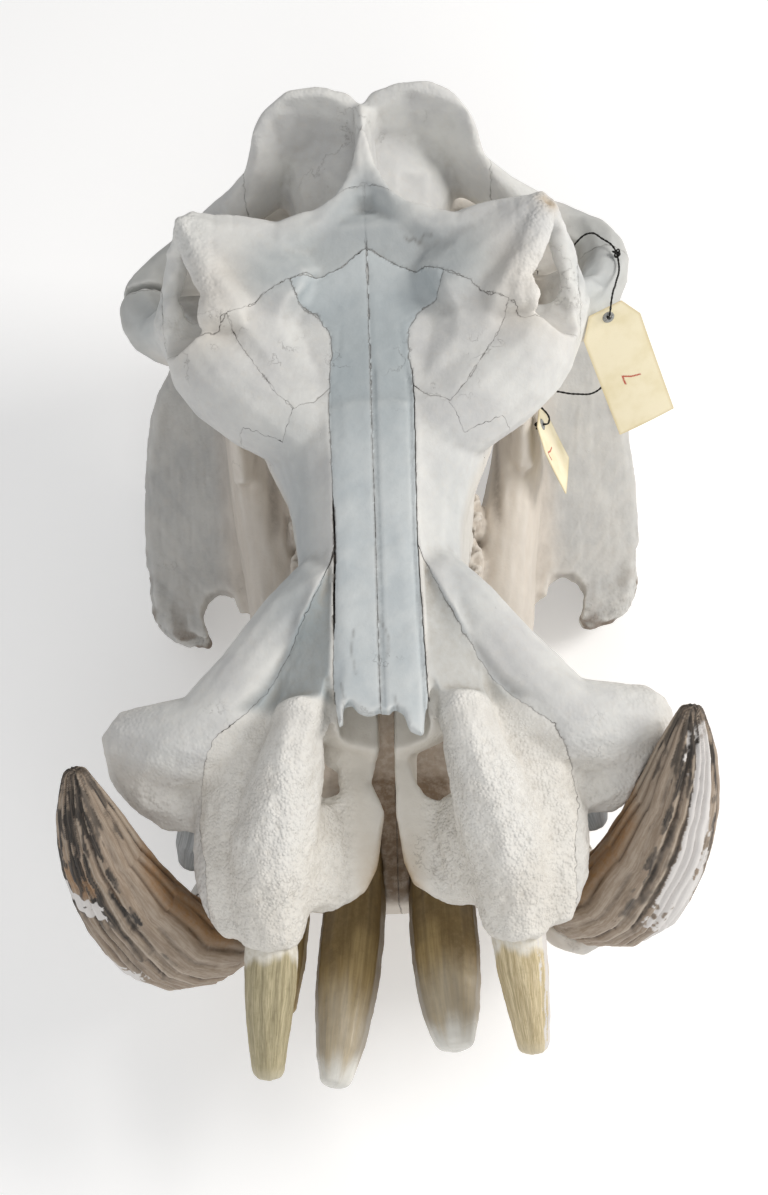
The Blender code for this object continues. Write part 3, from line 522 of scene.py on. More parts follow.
@dataclass
class Shader:
    """A material's node tree, built a node at a time."""

    name: str

    def __post_init__(self) -> None:
        self.material = bpy.data.materials.new(self.name)
        self.material.use_nodes = True
        self.tree = self.material.node_tree
        self.surface = self.tree.nodes["Principled BSDF"]

    def add(self, kind: str, settings: dict | None = None, **inputs) -> bpy.types.Node:
        """Adds a node.

        Args:
            kind: One of NODE_KINDS.
            settings: Values of the node's own settings.
            inputs: Sockets to link and values to set; an underscore stands for a space.

        Returns:
            The node.
        """
        node = self.tree.nodes.new(NODE_KINDS[kind])
        for key, value in (settings or {}).items():
            setattr(node, key, value)
        for key, value in inputs.items():
            target = node.inputs[int(key[1:])] if key[1:].isdigit() else node.inputs[key.replace("_", " ")]
            if isinstance(value, Socket):
                self.tree.links.new(value, target)
            else:
                target.default_value = value
        return node

    def value(self, name: str) -> Socket:
        """A number kept at the mesh's points.

        Args:
            name: The number's name.

        Returns:
            Its socket.
        """
        return self.add("attribute", {"attribute_name": name}).outputs["Fac"]

    def place(self) -> Socket:
        """Places on the object, in metres.

        Returns:
            Their socket.
        """
        return self.add("coordinates").outputs["Object"]

    def noise(
        self, size: float, detail: float = 3.0, rough: float = 0.55, at: Socket | None = None
    ) -> Socket:
        """Soft noise between 0 and 1.

        Args:
            size: The size of its features in millimetres.
            detail: How many finer layers.
            rough: How strong they are.
            at: Where it is looked up; on the object where left out.

        Returns:
            Its socket.
        """
        scale = 1 / (size * MM)
        return self.add(
            "noise", Vector=at or self.place(), Scale=scale, Detail=detail, Roughness=rough
        ).outputs[0]

    def stretch(
        self, value: Socket, start: float, stop: float, low: float = 0.0, high: float = 1.0
    ) -> Socket:
        """Maps a number smoothly from one range to another.

        Args:
            value: The number.
            start: Where the first range begins.
            stop: Where it ends.
            low: What start becomes.
            high: What stop becomes.

        Returns:
            The new number's socket.
        """
        settings = {"interpolation_type": "SMOOTHSTEP"}
        node = self.add(
            "ramp", settings, Value=value, From_Min=start, From_Max=stop, To_Min=low, To_Max=high
        )
        return node.outputs[0]

    def sum_of(self, operation: str, first: Socket | float, second: Socket | float) -> Socket:
        """Joins two numbers.

        Args:
            operation: What is done, such as "MULTIPLY".
            first: A number.
            second: Another.

        Returns:
            The result's socket.
        """
        return self.add("math", {"operation": operation}, _0=first, _1=second).outputs[0]

    def times(self, first: Socket | float, second: Socket | float) -> Socket:
        """The product of two numbers."""
        return self.sum_of("MULTIPLY", first, second)

    def mix(self, share: Socket | float, first: Socket | tuple, second: Socket | tuple) -> Socket:
        """Blends two colours.

        Args:
            share: How much of the second shows.
            first: A colour.
            second: Another.

        Returns:
            The blend's socket.
        """
        node = self.add("mix", {"data_type": "RGBA"}, _0=share, _6=first, _7=second)
        return node.outputs[2]

    def tint(self, share: Socket | float, colour: Socket, code: str) -> Socket:
        """Blends a hex colour into a colour."""
        return self.mix(share, colour, srgb(code))

    def bump(self, height: Socket, distance: float, after: Socket | None = None) -> Socket:
        """Fine relief that the mesh is too coarse for.

        Args:
            height: Heights between 0 and 1.
            distance: What a height of one is, in millimetres.
            after: Relief that this one is added to.

        Returns:
            The directions' socket.
        """
        inputs = {"Height": height, "Distance": distance * MM, "Strength": 1.0}
        if after is not None:
            inputs["Normal"] = after
        return self.add("bump", **inputs).outputs[0]

    def finish(
        self, colour: Socket, roughness: Socket | float, relief: Socket | None
    ) -> bpy.types.Material:
        """Joins everything to the surface.

        Args:
            colour: The base colour.
            roughness: How dull it is.
            relief: Its fine relief.

        Returns:
            The material.
        """
        self.tree.links.new(colour, self.surface.inputs["Base Color"])
        target = self.surface.inputs["Roughness"]
        if isinstance(roughness, Socket):
            self.tree.links.new(roughness, target)
        else:
            target.default_value = roughness
        if relief is not None:
            self.tree.links.new(relief, self.surface.inputs["Normal"])
        return self.material


@dataclass(frozen=True)
class BoneFinish:
    """Dry bleached bone: chalky and mottled, with painted shade in its hollows and a painted highlight on
    its ridges, so it reads as old bone.
    """

    name: str
    pale: str
    shade: str
    warm: str
    # The colour of the painted shade in hollows, pits and grooves.
    hollow_shade: str
    grain: float = 1.0
    crumb: float = 3.2
    rough: float = 0.66
    stain: str = "#A5854F"

    def material(self) -> bpy.types.Material:
        """Builds the bone.

        Returns:
            The material.
        """
        s = Shader(self.name)
        wide = s.noise(46, 4, 0.6)
        fine = s.noise(6.0, 4, 0.65)
        colour = s.mix(s.stretch(wide, 0.36, 0.66), srgb(self.pale), srgb(self.shade))
        colour = s.tint(s.times(s.stretch(fine, 0.45, 0.8), 0.22), colour, self.warm)
        colour = s.tint(s.value("warmth"), colour, self.warm)
        # Greyed toward a grey-blue by the shade-and-cool value, which is mostly painted shade.
        colour = s.tint(s.value("cool"), colour, SHADE_AND_COOL_TINT)
        # Painted shade: where the hollow value is above zero the bone is darkened toward the hollow shade
        # colour, mottled by fine noise.
        hollow = s.sum_of("MAXIMUM", s.value("hollow"), 0.0)
        shown = s.times(hollow, s.stretch(fine, 0.25, 0.7, 0.4, 1.0))
        colour = s.tint(s.times(shown, 0.6), colour, self.hollow_shade)
        # Painted highlight: ridges, where the hollow value is below zero, are lightened.
        ridge = s.sum_of("MAXIMUM", s.times(s.value("hollow"), -0.4), 0.0)
        colour = s.tint(ridge, colour, RIDGE_HIGHLIGHT)
        stained = s.times(s.value("stain"), s.stretch(fine, 0.3, 0.62, 0.75, 1.0))
        colour = s.tint(stained, colour, self.stain)
        # Hairline cracks run in patches, as on bone that has dried fast.
        line = s.sum_of("ABSOLUTE", s.sum_of("SUBTRACT", s.noise(60, 6, 0.62), 0.5), 0.0)
        patch = s.stretch(s.noise(75, 2, 0.5), 0.56, 0.66)
        crack = s.times(s.stretch(line, 0.005, 0.0), patch)
        colour = s.tint(s.times(crack, 0.25), colour, CRACK_TINT)
        dark = s.times(s.value("seam"), s.stretch(s.noise(5, 2, 0.5), 0.3, 0.6, 0.45, 1.0))
        colour = s.tint(dark, colour, SEAM_TINT)
        rough_here = s.value("rough")
        speck = s.stretch(s.noise(1.4, 2, 0.6), 0.64, 0.8)
        spots = s.times(speck, s.sum_of("ADD", s.times(rough_here, 0.16), 0.03))
        colour = s.tint(spots, colour, PORE_TINT)
        # Rough bone is covered in small crumbs with pores between them.
        cells = s.add("cells", {"feature": "F1"}, Vector=s.place(), Scale=1 / (self.crumb * MM)).outputs[0]
        crumbs = s.times(s.sum_of("ADD", rough_here, 0.06), s.stretch(cells, 0.75, 0.1))
        relief = s.bump(s.noise(16, 5, 0.6), 0.5 * self.grain)
        relief = s.bump(s.noise(2.8, 4, 0.62), 0.22 * self.grain, relief)
        relief = s.bump(crumbs, 0.55 * self.grain, relief)
        relief = s.bump(s.sum_of("SUBTRACT", 1.0, crack), 0.25, relief)
        return s.finish(colour, self.rough, relief)


# The grey-blue tint is mostly painted shade, and the ridge tint is a painted highlight.
SHADE_AND_COOL_TINT = "#98A2A6"
RIDGE_HIGHLIGHT = "#F2F0EB"
CRACK_TINT = "#7F766D"
SEAM_TINT = "#5A5149"
PORE_TINT = "#938A7F"
SKULL_BONE = BoneFinish("bleached bone", "#DADAD7", "#CCCCCB", "#DBD2C5", "#858079")
NASAL_BONE = BoneFinish("bleached nasal bone", "#D3D8D9", "#C5CCCF", "#D2D3D0", "#7F8588", grain=0.8)
ROUGH_BONE = BoneFinish(
    "rough muzzle bone", "#E8E6E1", "#DBD8D2", "#E0D8CA", "#9C9282", grain=1.1, crumb=2.5
)
JAW_BONE = BoneFinish("jaw bone", "#CECAC4", "#BDBAB6", "#D5CABC", "#7A6F65", grain=0.9, stain="#634A2C")


def bone_piece(surface: Surface, name: str, finish: bpy.types.Material) -> bpy.types.Object:
    """Puts a bone in the place of its CAD node.

    Args:
        surface: The bone's surface.
        name: The node's name.
        finish: Its material.

    Returns:
        The piece.
    """
    piece = surface.as_object(name + "_bone", finish)
    settle(piece, name)
    LOG.info("%s: %d triangles", piece.name, len(surface.faces))
    return piece


def settle(piece: bpy.types.Object, name: str) -> None:
    """Hangs a piece on the root body and hides the CAD node that it replaces.

    Args:
        piece: The piece.
        name: The CAD node that it replaces.
    """
    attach(piece, "root")
    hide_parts(name)


# Sutures as they run seen from above, as (side, back) on the left half.
NASAL_EDGE = [
    (36, 110), (33, 200), (31, 281), (33, 401), (32, 422), (30, 447), (31, 464), (42, 483), (56, 490),
    (60, 502),
]
NASAL_BACK = [(43, 511), (21, 521), (5, 533), (0, 535)]
LACRIMAL = [
    (56, 490), (60, 502), (82, 489), (98, 474), (109, 470), (100, 452), (88, 434), (74, 412), (60, 398),
    (44, 404), (26, 422), (24, 470),
]
PREMAXILLA_EDGE = [
    (31, 281), (41, 255), (50, 235), (64, 207), (80, 180), (102, 159), (124, 143), (136, 120),
    (139, 96), (134, 60), (134, -40),
]
BRAINCASE_EDGE = [(0, 588), (12, 583), (36, 570), (60, 572), (120, 590), (170, 580), (240, 572), (300, 572)]
FRONTAL = [
    (0, 535), (5, 533), (21, 521), (43, 511), (60, 502), (82, 489), (98, 474), (109, 470), (122, 462),
    (168, 462), (168, 532), (158, 562), (120, 590), (60, 572), (36, 570), (12, 583), (0, 588),
]
JUGAL = [
    (60, 398), (70, 377), (101, 392), (120, 380), (260, 420), (260, 572), (170, 580), (120, 590),
    (118, 520), (122, 462), (109, 470), (100, 452), (88, 434), (74, 412),
]
TEMPORAL = [(104, 540), (270, 540), (270, 690), (104, 690)]
# The roof's crisp hind edge over the two hollows, and the rough rims of the orbits.
ROOF_EDGE = [(2, 633), (9, 604), (23, 580), (40, 565), (60, 561), (96, 561)]
HORN_RIM = [(140, 558, 387), (142, 545, 384), (135, 530, 378), (130, 511, 370), (123, 491, 366)]
ORBIT_RIM = [
    (123, 491, 366), (118, 478, 360), (134, 476, 356), (150, 478, 344), (160, 488, 328), (168, 500, 312)
]
NUCHAL_RIM = [
    (1, 663, 390), (16, 674, 391), (36, 675, 391), (58, 667, 391), (75, 657, 385), (87, 650, 375),
    (91, 644, 368), (86, 643, 362), (100, 639, 350), (118, 635, 325), (130, 627, 310),
]
ORBIT_CREAM = [(112, 500, 362), (118, 474, 354), (140, 470, 340)]
# The lower edge of the muzzle's smooth flanks, as (side, back, up), and the crest of the
# rough lobes before them.
FLANK_EDGE = [
    (102, 159, 296), (80, 180, 303), (64, 207, 311), (50, 235, 321), (41, 255, 322), (31, 281, 322)
]
LOBE_TOP = [(48, 150), (60, 158), (82, 158), (100, 148)]
# The bars behind the eyes, and the swollen ends of the upper jaw over the canines.
BAR = [(147, 547, 375), (154, 537, 352), (157, 524, 338), (160, 516, 324), (162, 502, 312)]
CANINE_LOBE = [(150, 120, 226), (170, 122, 240), (192, 140, 248), (200, 162, 258), (186, 172, 262)]
# Small holes for vessels, as (side, back, up, radius) on their own sides.
FORAMINA = [
    (3, 593, 381, 1.7), (8, 592, 381, 1.5), (-22, 536, 362, 1.7), (-9, 556, 368, 1.2),
    (16, 552, 368, 1.0), (-62, 521, 358, 1.3), (90, 175, 290, 1.8), (125, 139, 284, 1.6),
    (129, 139, 284, 1.3),
]
# Fine cracks seen from above: flakes on the nasals, a squiggle on the left frontal.
NASAL_FLAKES = (
    ((-18, 212), (-20, 196), (-17, 178)), ((2, 219), (7, 206), (6, 190)), ((10, 160), (13, 148), (12, 134)),
    ((-28, 172), (-26, 160), (-29, 144)),
)
FRONTAL_CRACK = [(31, 541), (34, 538), (38, 540), (42, 536), (47, 540), (52, 538)]
# Where the top of the left bar is broken open.
BAR_BREAK = (148, 548, 386)
# The middle lines of the rows of cheek teeth.
UPPER_ROW = [(63, 250, 168), (66, 340, 168), (72, 450, 168)]
LOWER_ROW = [(67, 240, 165), (70, 340, 165), (76, 460, 165)]


def cusp_distance(
    points: Array, row: Sequence[Sequence[float]], pitch: float = 17.0, half: float = 8.0
) -> Array:
    """Distance in plan to the nearest cusp of a row of cheek teeth.

    Args:
        points: Places on the left half.
        row: The row's middle line.
        pitch: The spacing of the cusps along the row.
        half: How far each cusp of a pair stands from the middle line.

    Returns:
        One distance to a row.
    """
    line = np.asarray(row, float)
    best = np.full(len(points), 99.0)
    for back in np.arange(line[0, 1] + pitch / 2, line[-1, 1], pitch):
        middle = np.interp(back, line[:, 1], line[:, 0])
        for side in (middle - half, middle + half):
            best = np.minimum(best, np.hypot(points[:, 0] - side, points[:, 1] - back))
    return best


def worn_teeth(skin: Surface, points: Array, row: Sequence[Sequence[float]], near: Array) -> Array:
    """Works enamel loops into the chewing faces; through the hollow value it paints shade into the sunk
    parts inside and between them and lightens the loops.

    Args:
        skin: The skin; its hollow and warmth values are changed.
        points: Its places on the left half.
        row: The row's middle line.
        near: How far each point belongs to the chewing face, 0 to 1.

    Returns:
        Heights to add.
    """
    away = cusp_distance(points, row) + 1.2 * noise(points, 6, 61, 2)
    loop = bell(away - 6.2, 1.3)
    inside = ramp(away, 5.4, 4.0)
    between = ramp(away, 7.6, 9.4)
    hollow = 0.55 * inside + 0.95 * between - 0.7 * loop
    skin.values["hollow"] = skin.values["hollow"] * (1 - near) + near * np.clip(hollow, -1, 1)
    skin.values["warmth"] = np.maximum(skin.values["warmth"], 0.8 * near * inside)
    return near * (0.5 * loop - 1.6 * inside - 2.6 * between)


@dataclass
class Cranium:
    """The skull without its jaw and free teeth, parted into its bones."""

    voxel: float = 1.8
    facet_rounds: int = 54
    wiggle: float = 0.75
    wiggle_size: float = 4.5
    seam_half: float = 0.1
    lip: float = 3.0
    nasal_half: float = 34.0
    nasal_height: float = 321.0
    flank_dip: float = 2.5
    lobe_rise: float = 2.2
    horn_rise: float = 1.6
    orbit_rise: float = 2.4
    bar_rise: float = 1.6
    roof_rise: float = 1.2
    roof_fall: float = 2.4
    strip_depth: float = 1.0
    break_depth: float = 4.5
    names: tuple[str, ...] = (
        "nasal", "lacrimal", "frontal", "zygomatic", "premaxilla", "maxilla", "temporal"
    )

    def _skin(self) -> Surface:
        """The whole cranium as one skin, its facets smoothed away.

        Returns:
            The skin.
        """
        nodes = [n + side for n in self.names for side in ("_l", "_r")] + ["braincase"]
        skin = Surface.from_nodes(nodes, self.voxel)
        side, back, up = skin.points.T
        width = np.abs(side)
        jagged = bell(
            inside_distance(np.column_stack([width, back]), [(0, 120), (38, 120), (38, 160), (0, 160)]), 9
        )
        jagged = np.where(up > 285, jagged, 0)
        teeth = ramp(-np.abs(up - 168), -14, -8) * ramp(-width, -96, -88) * ramp(back, 226, 236)
        hold = np.clip(0.85 * jagged + 0.95 * teeth, 0, 0.95)
        skin.smooth(round(self.facet_rounds * (Cranium.voxel / self.voxel) ** 2), hold)
        return skin

    def _relief(self, skin: Surface, even: Array) -> dict[str, Array]:
        """Adds lobes, rims, grooves and pits.

        Args:
            skin: The skin, which is changed.
            even: Its places with even arches.

        Returns:
            Where each kind of relief lies, 0 to 1 at a point.
        """
        mirrored = folded(even)
        side, back, up = mirrored.T
        plan = mirrored[:, :2]
        lobe = 0.7 * bell(path_distance(mirrored, CANINE_LOBE), 34)
        muzzle = ramp(back, 175, 95) * ramp(side, 20, 36) * ramp(up, 190, 205)
        horn = bell(path_distance(mirrored, HORN_RIM), 13)
        orbit = bell(path_distance(mirrored, ORBIT_RIM), 10)
        nuchal = bell(path_distance(mirrored, NUCHAL_RIM), 12)
        rough = np.clip(np.maximum.reduce([lobe, muzzle, horn, 0.7 * orbit, 0.5 * nuchal]), 0, 1)
        height = rough * (0.6 * noise(even, 15, 1, 2) + 0.42 * noise(even, 5.2, 2, 2))
        porous = rough > 0.15
        holes = np.zeros(len(even))
        holes[porous] = pits(even[porous], 6.0, 3, 0.4)
        height -= 0.6 * holes * ramp(rough, 0.2, 0.7)
        height += (1 - rough) * (0.35 * noise(even, 26, 4, 3) + 0.08 * noise(even, 6, 5, 2))
        # Rims stand proud and are scalloped.
        height += horn * (self.horn_rise + 0.7 * noise(even, 11, 6, 2))
        height += orbit * (self.orbit_rise + 1.9 * noise(even, 9, 7, 1))
        # The postorbital bars are thick and uneven.
        bar = bell(path_distance(mirrored, BAR), 15)
        height += bar * (self.bar_rise + 1.5 * noise(even, 13, 8, 2))
        # A smooth hollow flank runs down from the nasals, and the rough lobe stands up before it.
        from_nasal = inside_distance(plan, [(0, 560), (0, 100), *NASAL_EDGE, *NASAL_BACK])
        edge_side, edge_back, edge_up = np.array(FLANK_EDGE).T
        reach = np.interp(back, edge_back, edge_side) - self.nasal_half
        share = (side - self.nasal_half) / np.maximum(reach, 4)
        slope = self.nasal_height + (np.interp(back, edge_back, edge_up) - self.nasal_height) * share
        slope -= self.flank_dip * np.sin(np.pi * np.clip(share, 0, 1))
        flank = ramp(share, -0.02, 0.1) * ramp(share, 1.25, 0.95) * ramp(up, 275, 288) * ramp(
            from_nasal, 0, -1.5
        )
        flank *= ramp(back, 159, 169) * ramp(back, 274, 256)
        skin.points[:, 2] += 0.9 * flank * np.minimum(slope - up, 2)
        lobe_top = bell(path_distance(plan, LOBE_TOP), 8) * ramp(up, 240, 262)
        height += self.lobe_rise * lobe_top
        rough = np.clip(rough * (1 - 0.8 * flank) + 0.6 * lobe_top, 0, 1)
        # The left nasal's groove runs beside its outer edge.
        strip = bell(from_nasal - 2.6, 1.5)
        strip *= ramp(up, 285, 295) * ramp(back, 440, 420) * (even[:, 0] > 0)
        height -= self.strip_depth * strip
        # The roof ends in a crisp edge over the two hollows behind it.
        edge = path_distance(plan, ROOF_EDGE)
        behind = inside_distance(plan, [(0, 640), *ROOF_EDGE, (200, 561), (200, 700), (0, 700)])
        on_roof = ramp(up, 345, 358) * ramp(side, 100, 78)
        fall = -self.roof_fall * ramp(edge, 0, 5) * bell(edge - 5, 12)
        height += on_roof * np.where(behind < 0, self.roof_rise * bell(edge, 7), fall)
        for x, s, z, radius in FORAMINA:
            away = np.linalg.norm(even - (x, s, z), axis=1)
            height -= 2.0 * radius * bell(away, radius * 1.5)
        # The left postorbital bar is broken open at its top.
        broken = bell(np.linalg.norm(even - BAR_BREAK, axis=1), 10)
        height -= self.break_depth * broken
        skin.push(height)
        return {
            "rough": rough,
            "holes": holes,
            "flank": flank,
            "strip": strip,
            "broken": broken,
            "from nasal": from_nasal,
        }

    def _stains(self, skin: Surface, even: Array, zones: dict[str, Array]) -> None:
        """Keeps the values that tint the bone and that paint shade and highlight on it.

        Args:
            skin: The skin, whose values are set.
            even: Its places with even arches, as they were before the relief.
            zones: Where each kind of relief lies.
        """
        rough, holes, flank, strip, broken, from_nasal = zones.values()
        mirrored = folded(even)
        side, back, up = mirrored.T
        skin.values["rough"] = rough
        # The hollow value paints shade into hollows and pits and a highlight on ridges; the groove beside
        # the left nasal and the smooth flanks get painted shade too.
        skin.values["hollow"] = np.clip(skin.hollowness(7, 1.2) + 0.3 * skin.hollowness(50, 8.0), -1, 1)
        hollow = skin.values["hollow"] * (1 - 0.5 * rough) + 0.15 * holes * rough
        hollow += 0.6 * strip + 0.35 * flank
        skin.values["hollow"] = np.clip(hollow, -1, 1)
        # Painted shade, through the shade-and-cool value: the frontals beside the nasals, the middle of the
        # nasals and the cheek arches are greyed; only the faint grey-blue along the whole nasals is their
        # own tint.
        cool = 0.6 * ramp(from_nasal, -60, -15) * ramp(back, 468, 505) * ramp(up, 300, 330)
        cool *= from_nasal < 0
        cool += (0.08 + 0.58 * bell(back - 440, 85)) * ramp(from_nasal, -2, 2) * ramp(up, 285, 300)
        cool += 0.45 * ramp(side, 150, 180) * ramp(back, 490, 520)
        # Painted shade on the smooth flanks beside the nasals, stronger on the skull's right side, which
        # faces away from the key light.
        beside = ramp(from_nasal, 0, -30) * ramp(back, 420, 330) * ramp(back, 190, 240)
        cool += np.where(even[:, 0] < 0, 0.5, 0.25) * beside * ramp(side, 110, 60)
        cool += flank * np.where(even[:, 0] < 0, 0.8, 0.35)
        skin.values["cool"] = np.clip(cool, 0, 1)
        cream = 0.55 * bell(path_distance(mirrored, ORBIT_CREAM), 26)
        skin.values["warmth"] = np.maximum(0.5 * ramp(up, 292, 262) * (1 - 0.5 * rough), cream)
        stain = 0.9 * ramp(back, 340, 250) * ramp(up, 236, 215) * ramp(side, 30, 10)
        stain += 0.3 * bell(np.linalg.norm(even - (-70, 600, 330), axis=1), 30)
        skin.values["stain"] = np.clip(stain + 0.75 * broken, 0, 0.8)
        crack = bell(path_distance(even[:, :2], FRONTAL_CRACK), 1.1) * (up > 350)
        skin.values["seam"] = 0.45 * crack
        for flake in NASAL_FLAKES:
            line = bell(path_distance(even[:, :2], flake), 0.9) * (up > 310)
            skin.values["seam"] = np.maximum(skin.values["seam"], 0.4 * line)
        # The vessel holes are darkened with the suture colour: painted shade in their openings.
        for x, s, z, radius in FORAMINA:
            away = np.linalg.norm(even - (x, s, z), axis=1)
            skin.values["seam"] = np.maximum(skin.values["seam"], 0.9 * bell(away, radius * 1.1))

    def _wear(self, skin: Surface, places: Array) -> None:
        """Wears the rows of cheek teeth down.

        Args:
            skin: The skin, which is changed.
            places: Its places before the relief, folded to the left.
        """
        side, back, up = places.T
        near_row = ramp(up, 176, 171) * ramp(side, 98, 90) * ramp(side, 36, 42) * ramp(back, 228, 238)
        skin.push(worn_teeth(skin, places, UPPER_ROW, near_row))

    def _fields(self, skin: Surface) -> dict[str, tuple[Array, Array]]:
        """How far each point lies inside each bone's part of the plan.

        Args:
            skin: The skin.

        Returns:
            Distances on the left and right side by bone, sutures waved.
        """
        even = unled(skin.points)
        wave = self.wiggle * noise(even, self.wiggle_size, 11, 2)
        up = even[:, 2]
        floors = {
            "nasal": 300 + (even[:, 1] - 150) * 0.04, "lacrimal": 322.0, "frontal": 292.0,
            "zygomatic": 232.0,
        }
        outlines = {
            "nasal": [(0, 100), *NASAL_EDGE, *NASAL_BACK],
            "lacrimal": LACRIMAL,
            "frontal": FRONTAL,
            "zygomatic": JUGAL,
            "premaxilla": [(0, -60), (0, 281), *PREMAXILLA_EDGE[:-1], (134, -60)],
            "temporal": TEMPORAL,
        }
        # The nasals' outer edges are straight; every other suture waves.
        straight = ramp(np.abs(even[:, 0]), 44, 38) * ramp(even[:, 1], 440, 400)
        wave = wave * (1 - 0.75 * straight)
        fields = {}
        for name, outline in outlines.items():
            halves = []
            for flip in (1, -1):
                plan = np.column_stack([even[:, 0] * flip, even[:, 1]])
                level = inside_distance(plan, outline) + wave
                if name in floors:
                    level = np.minimum(level, up - floors[name])
                halves.append(level)
            fields[name] = (halves[0], halves[1])
        width = np.abs(even[:, 0])
        closed = [*BRAINCASE_EDGE, (300, 900), (0, 900)]
        brain = inside_distance(
            np.column_stack([width + 0.01, even[:, 1]]), [(-300, 588), *closed[:-1], (-300, 900)]
        )
        fields["braincase"] = (brain + wave, brain + wave)
        fields["middle"] = (even[:, 0] + 0.3 * wave, -even[:, 0] - 0.3 * wave)
        return fields

    def _joins(self, skin: Surface) -> tuple[Array, Array]:
        """How dark and how open the sutures are.

        Args:
            skin: The skin.

        Returns:
            A darkness from 0 to 1 and half the gap in millimetres, to a point.
        """
        even = unled(skin.points)
        side, back, up = even.T
        width = np.abs(side)
        plan = np.column_stack([width, back])
        dark = 0.32 + 0.3 * noise(even, 14, 71, 2)
        half = np.full(len(even), self.seam_half)
        on_top = ramp(up, 280, 295)
        edge = bell(path_distance(plan, NASAL_EDGE), 5) * on_top
        middle = bell(width, 5) * on_top
        dark = dark * (1 - edge) + edge * 0.55
        dark = dark * (1 - middle) + middle * np.where(back < 537, 0.5, 0.06)
        back_edge = bell(path_distance(plan, [*NASAL_EDGE[-3:], *NASAL_BACK]), 6) * on_top
        dark = np.maximum(dark, 0.6 * back_edge)
        # The right nasal's outer edge has opened along its middle.
        open_gap = edge * (side < 0) * ramp(back, 205, 222) * ramp(back, 330, 310)
        dark = np.maximum(dark, 0.95 * open_gap)
        half += 0.75 * open_gap + 0.25 * edge * (side > 0) * ramp(back, 440, 420)
        # The cheek bone has all but grown together with its neighbours, and pores dot the
        # lacrimal's outer edge.
        grown = bell(path_distance(plan, JUGAL[:4]), 9)
        dark = dark * (1 - grown) + 0.04 * grown
        dotted = bell(path_distance(plan, LACRIMAL[4:8]), 7)
        dark = dark * (1 - dotted) + dotted * (0.05 + 0.45 * (noise(even, 3.2, 72) > 0.1))
        half = np.where((width < 5) & (back > 540), 0.03, half)
        roof = bell(path_distance(plan, BRAINCASE_EDGE[:5]), 8) * on_top
        dark = dark * (1 - roof) + 0.16 * roof
        return np.clip(dark, 0.03, 1), half

    def build(self) -> list[bpy.types.Object]:
        """Makes every bone of the cranium.

        Returns:
            The pieces.
        """
        skin = self._skin()
        LOG.info("cranium skin: %d points", len(skin.points))
        even = unled(skin.points)
        self._stains(skin, even, self._relief(skin, even))
        self._wear(skin, folded(even))
        fields = self._fields(skin)
        seam = np.full(len(skin.points), 9.0)
        for halves in fields.values():
            for level in halves:
                seam = np.minimum(seam, np.abs(level))
        skin.values["join"], skin.values["half gap"] = self._joins(skin)
        skin.push(-0.55 * bell(seam, 1.6) * (0.25 + skin.values["join"]))
        for name, halves in fields.items():
            skin.values["left " + name], skin.values["right " + name] = halves
        finishes = {
            Slot.SKULL: SKULL_BONE.material(),
            Slot.NASAL: NASAL_BONE.material(),
            Slot.ROUGH: ROUGH_BONE.material(),
        }
        slots = {"nasal": Slot.NASAL, "premaxilla": Slot.ROUGH}
        pieces = []

        def take(body: Surface, key: str) -> tuple[Surface, Surface]:
            level, half = body.values[key], body.values["half gap"]
            return body.clipped(level - half), body.clipped(-level - half)

        def place(part: Surface, name: str) -> None:
            kept = {k: v for k, v in part.values.items() if " " not in k}
            part = Surface(part.points, part.faces, part.links, kept).with_lip(self.lip)
            slot = slots.get(name[:-2], Slot.SKULL)
            pieces.append(bone_piece(part, name, finishes[slot]))

        body = skin
        for side, suffix in (("left ", "_l"), ("right ", "_r")):
            part, body = take(body, side + "nasal")
            place(part, "nasal" + suffix)
        brain, body = take(body, "left braincase")
        for side, suffix in (("left ", "_l"), ("right ", "_r")):
            part, brain = take(brain, side + "temporal")
            place(part, "temporal" + suffix)
        place(brain, "braincase")
        for side, suffix in (("left ", "_l"), ("right ", "_r")):
            rest = body.clipped(body.values[side + "middle"] - body.values["half gap"])
            for name in ("lacrimal", "frontal", "zygomatic", "premaxilla"):
                part, rest = take(rest, side + name)
                place(part, name + suffix)
            place(rest, "maxilla" + suffix)
        return pieces


HOOK_EDGE = [(170, 350, 33), (187, 352, 33), (206, 360, 36), (220, 376, 38), (226, 400, 42), (227, 440, 50)]
FLANGE_FAN = (172, 352, 40)


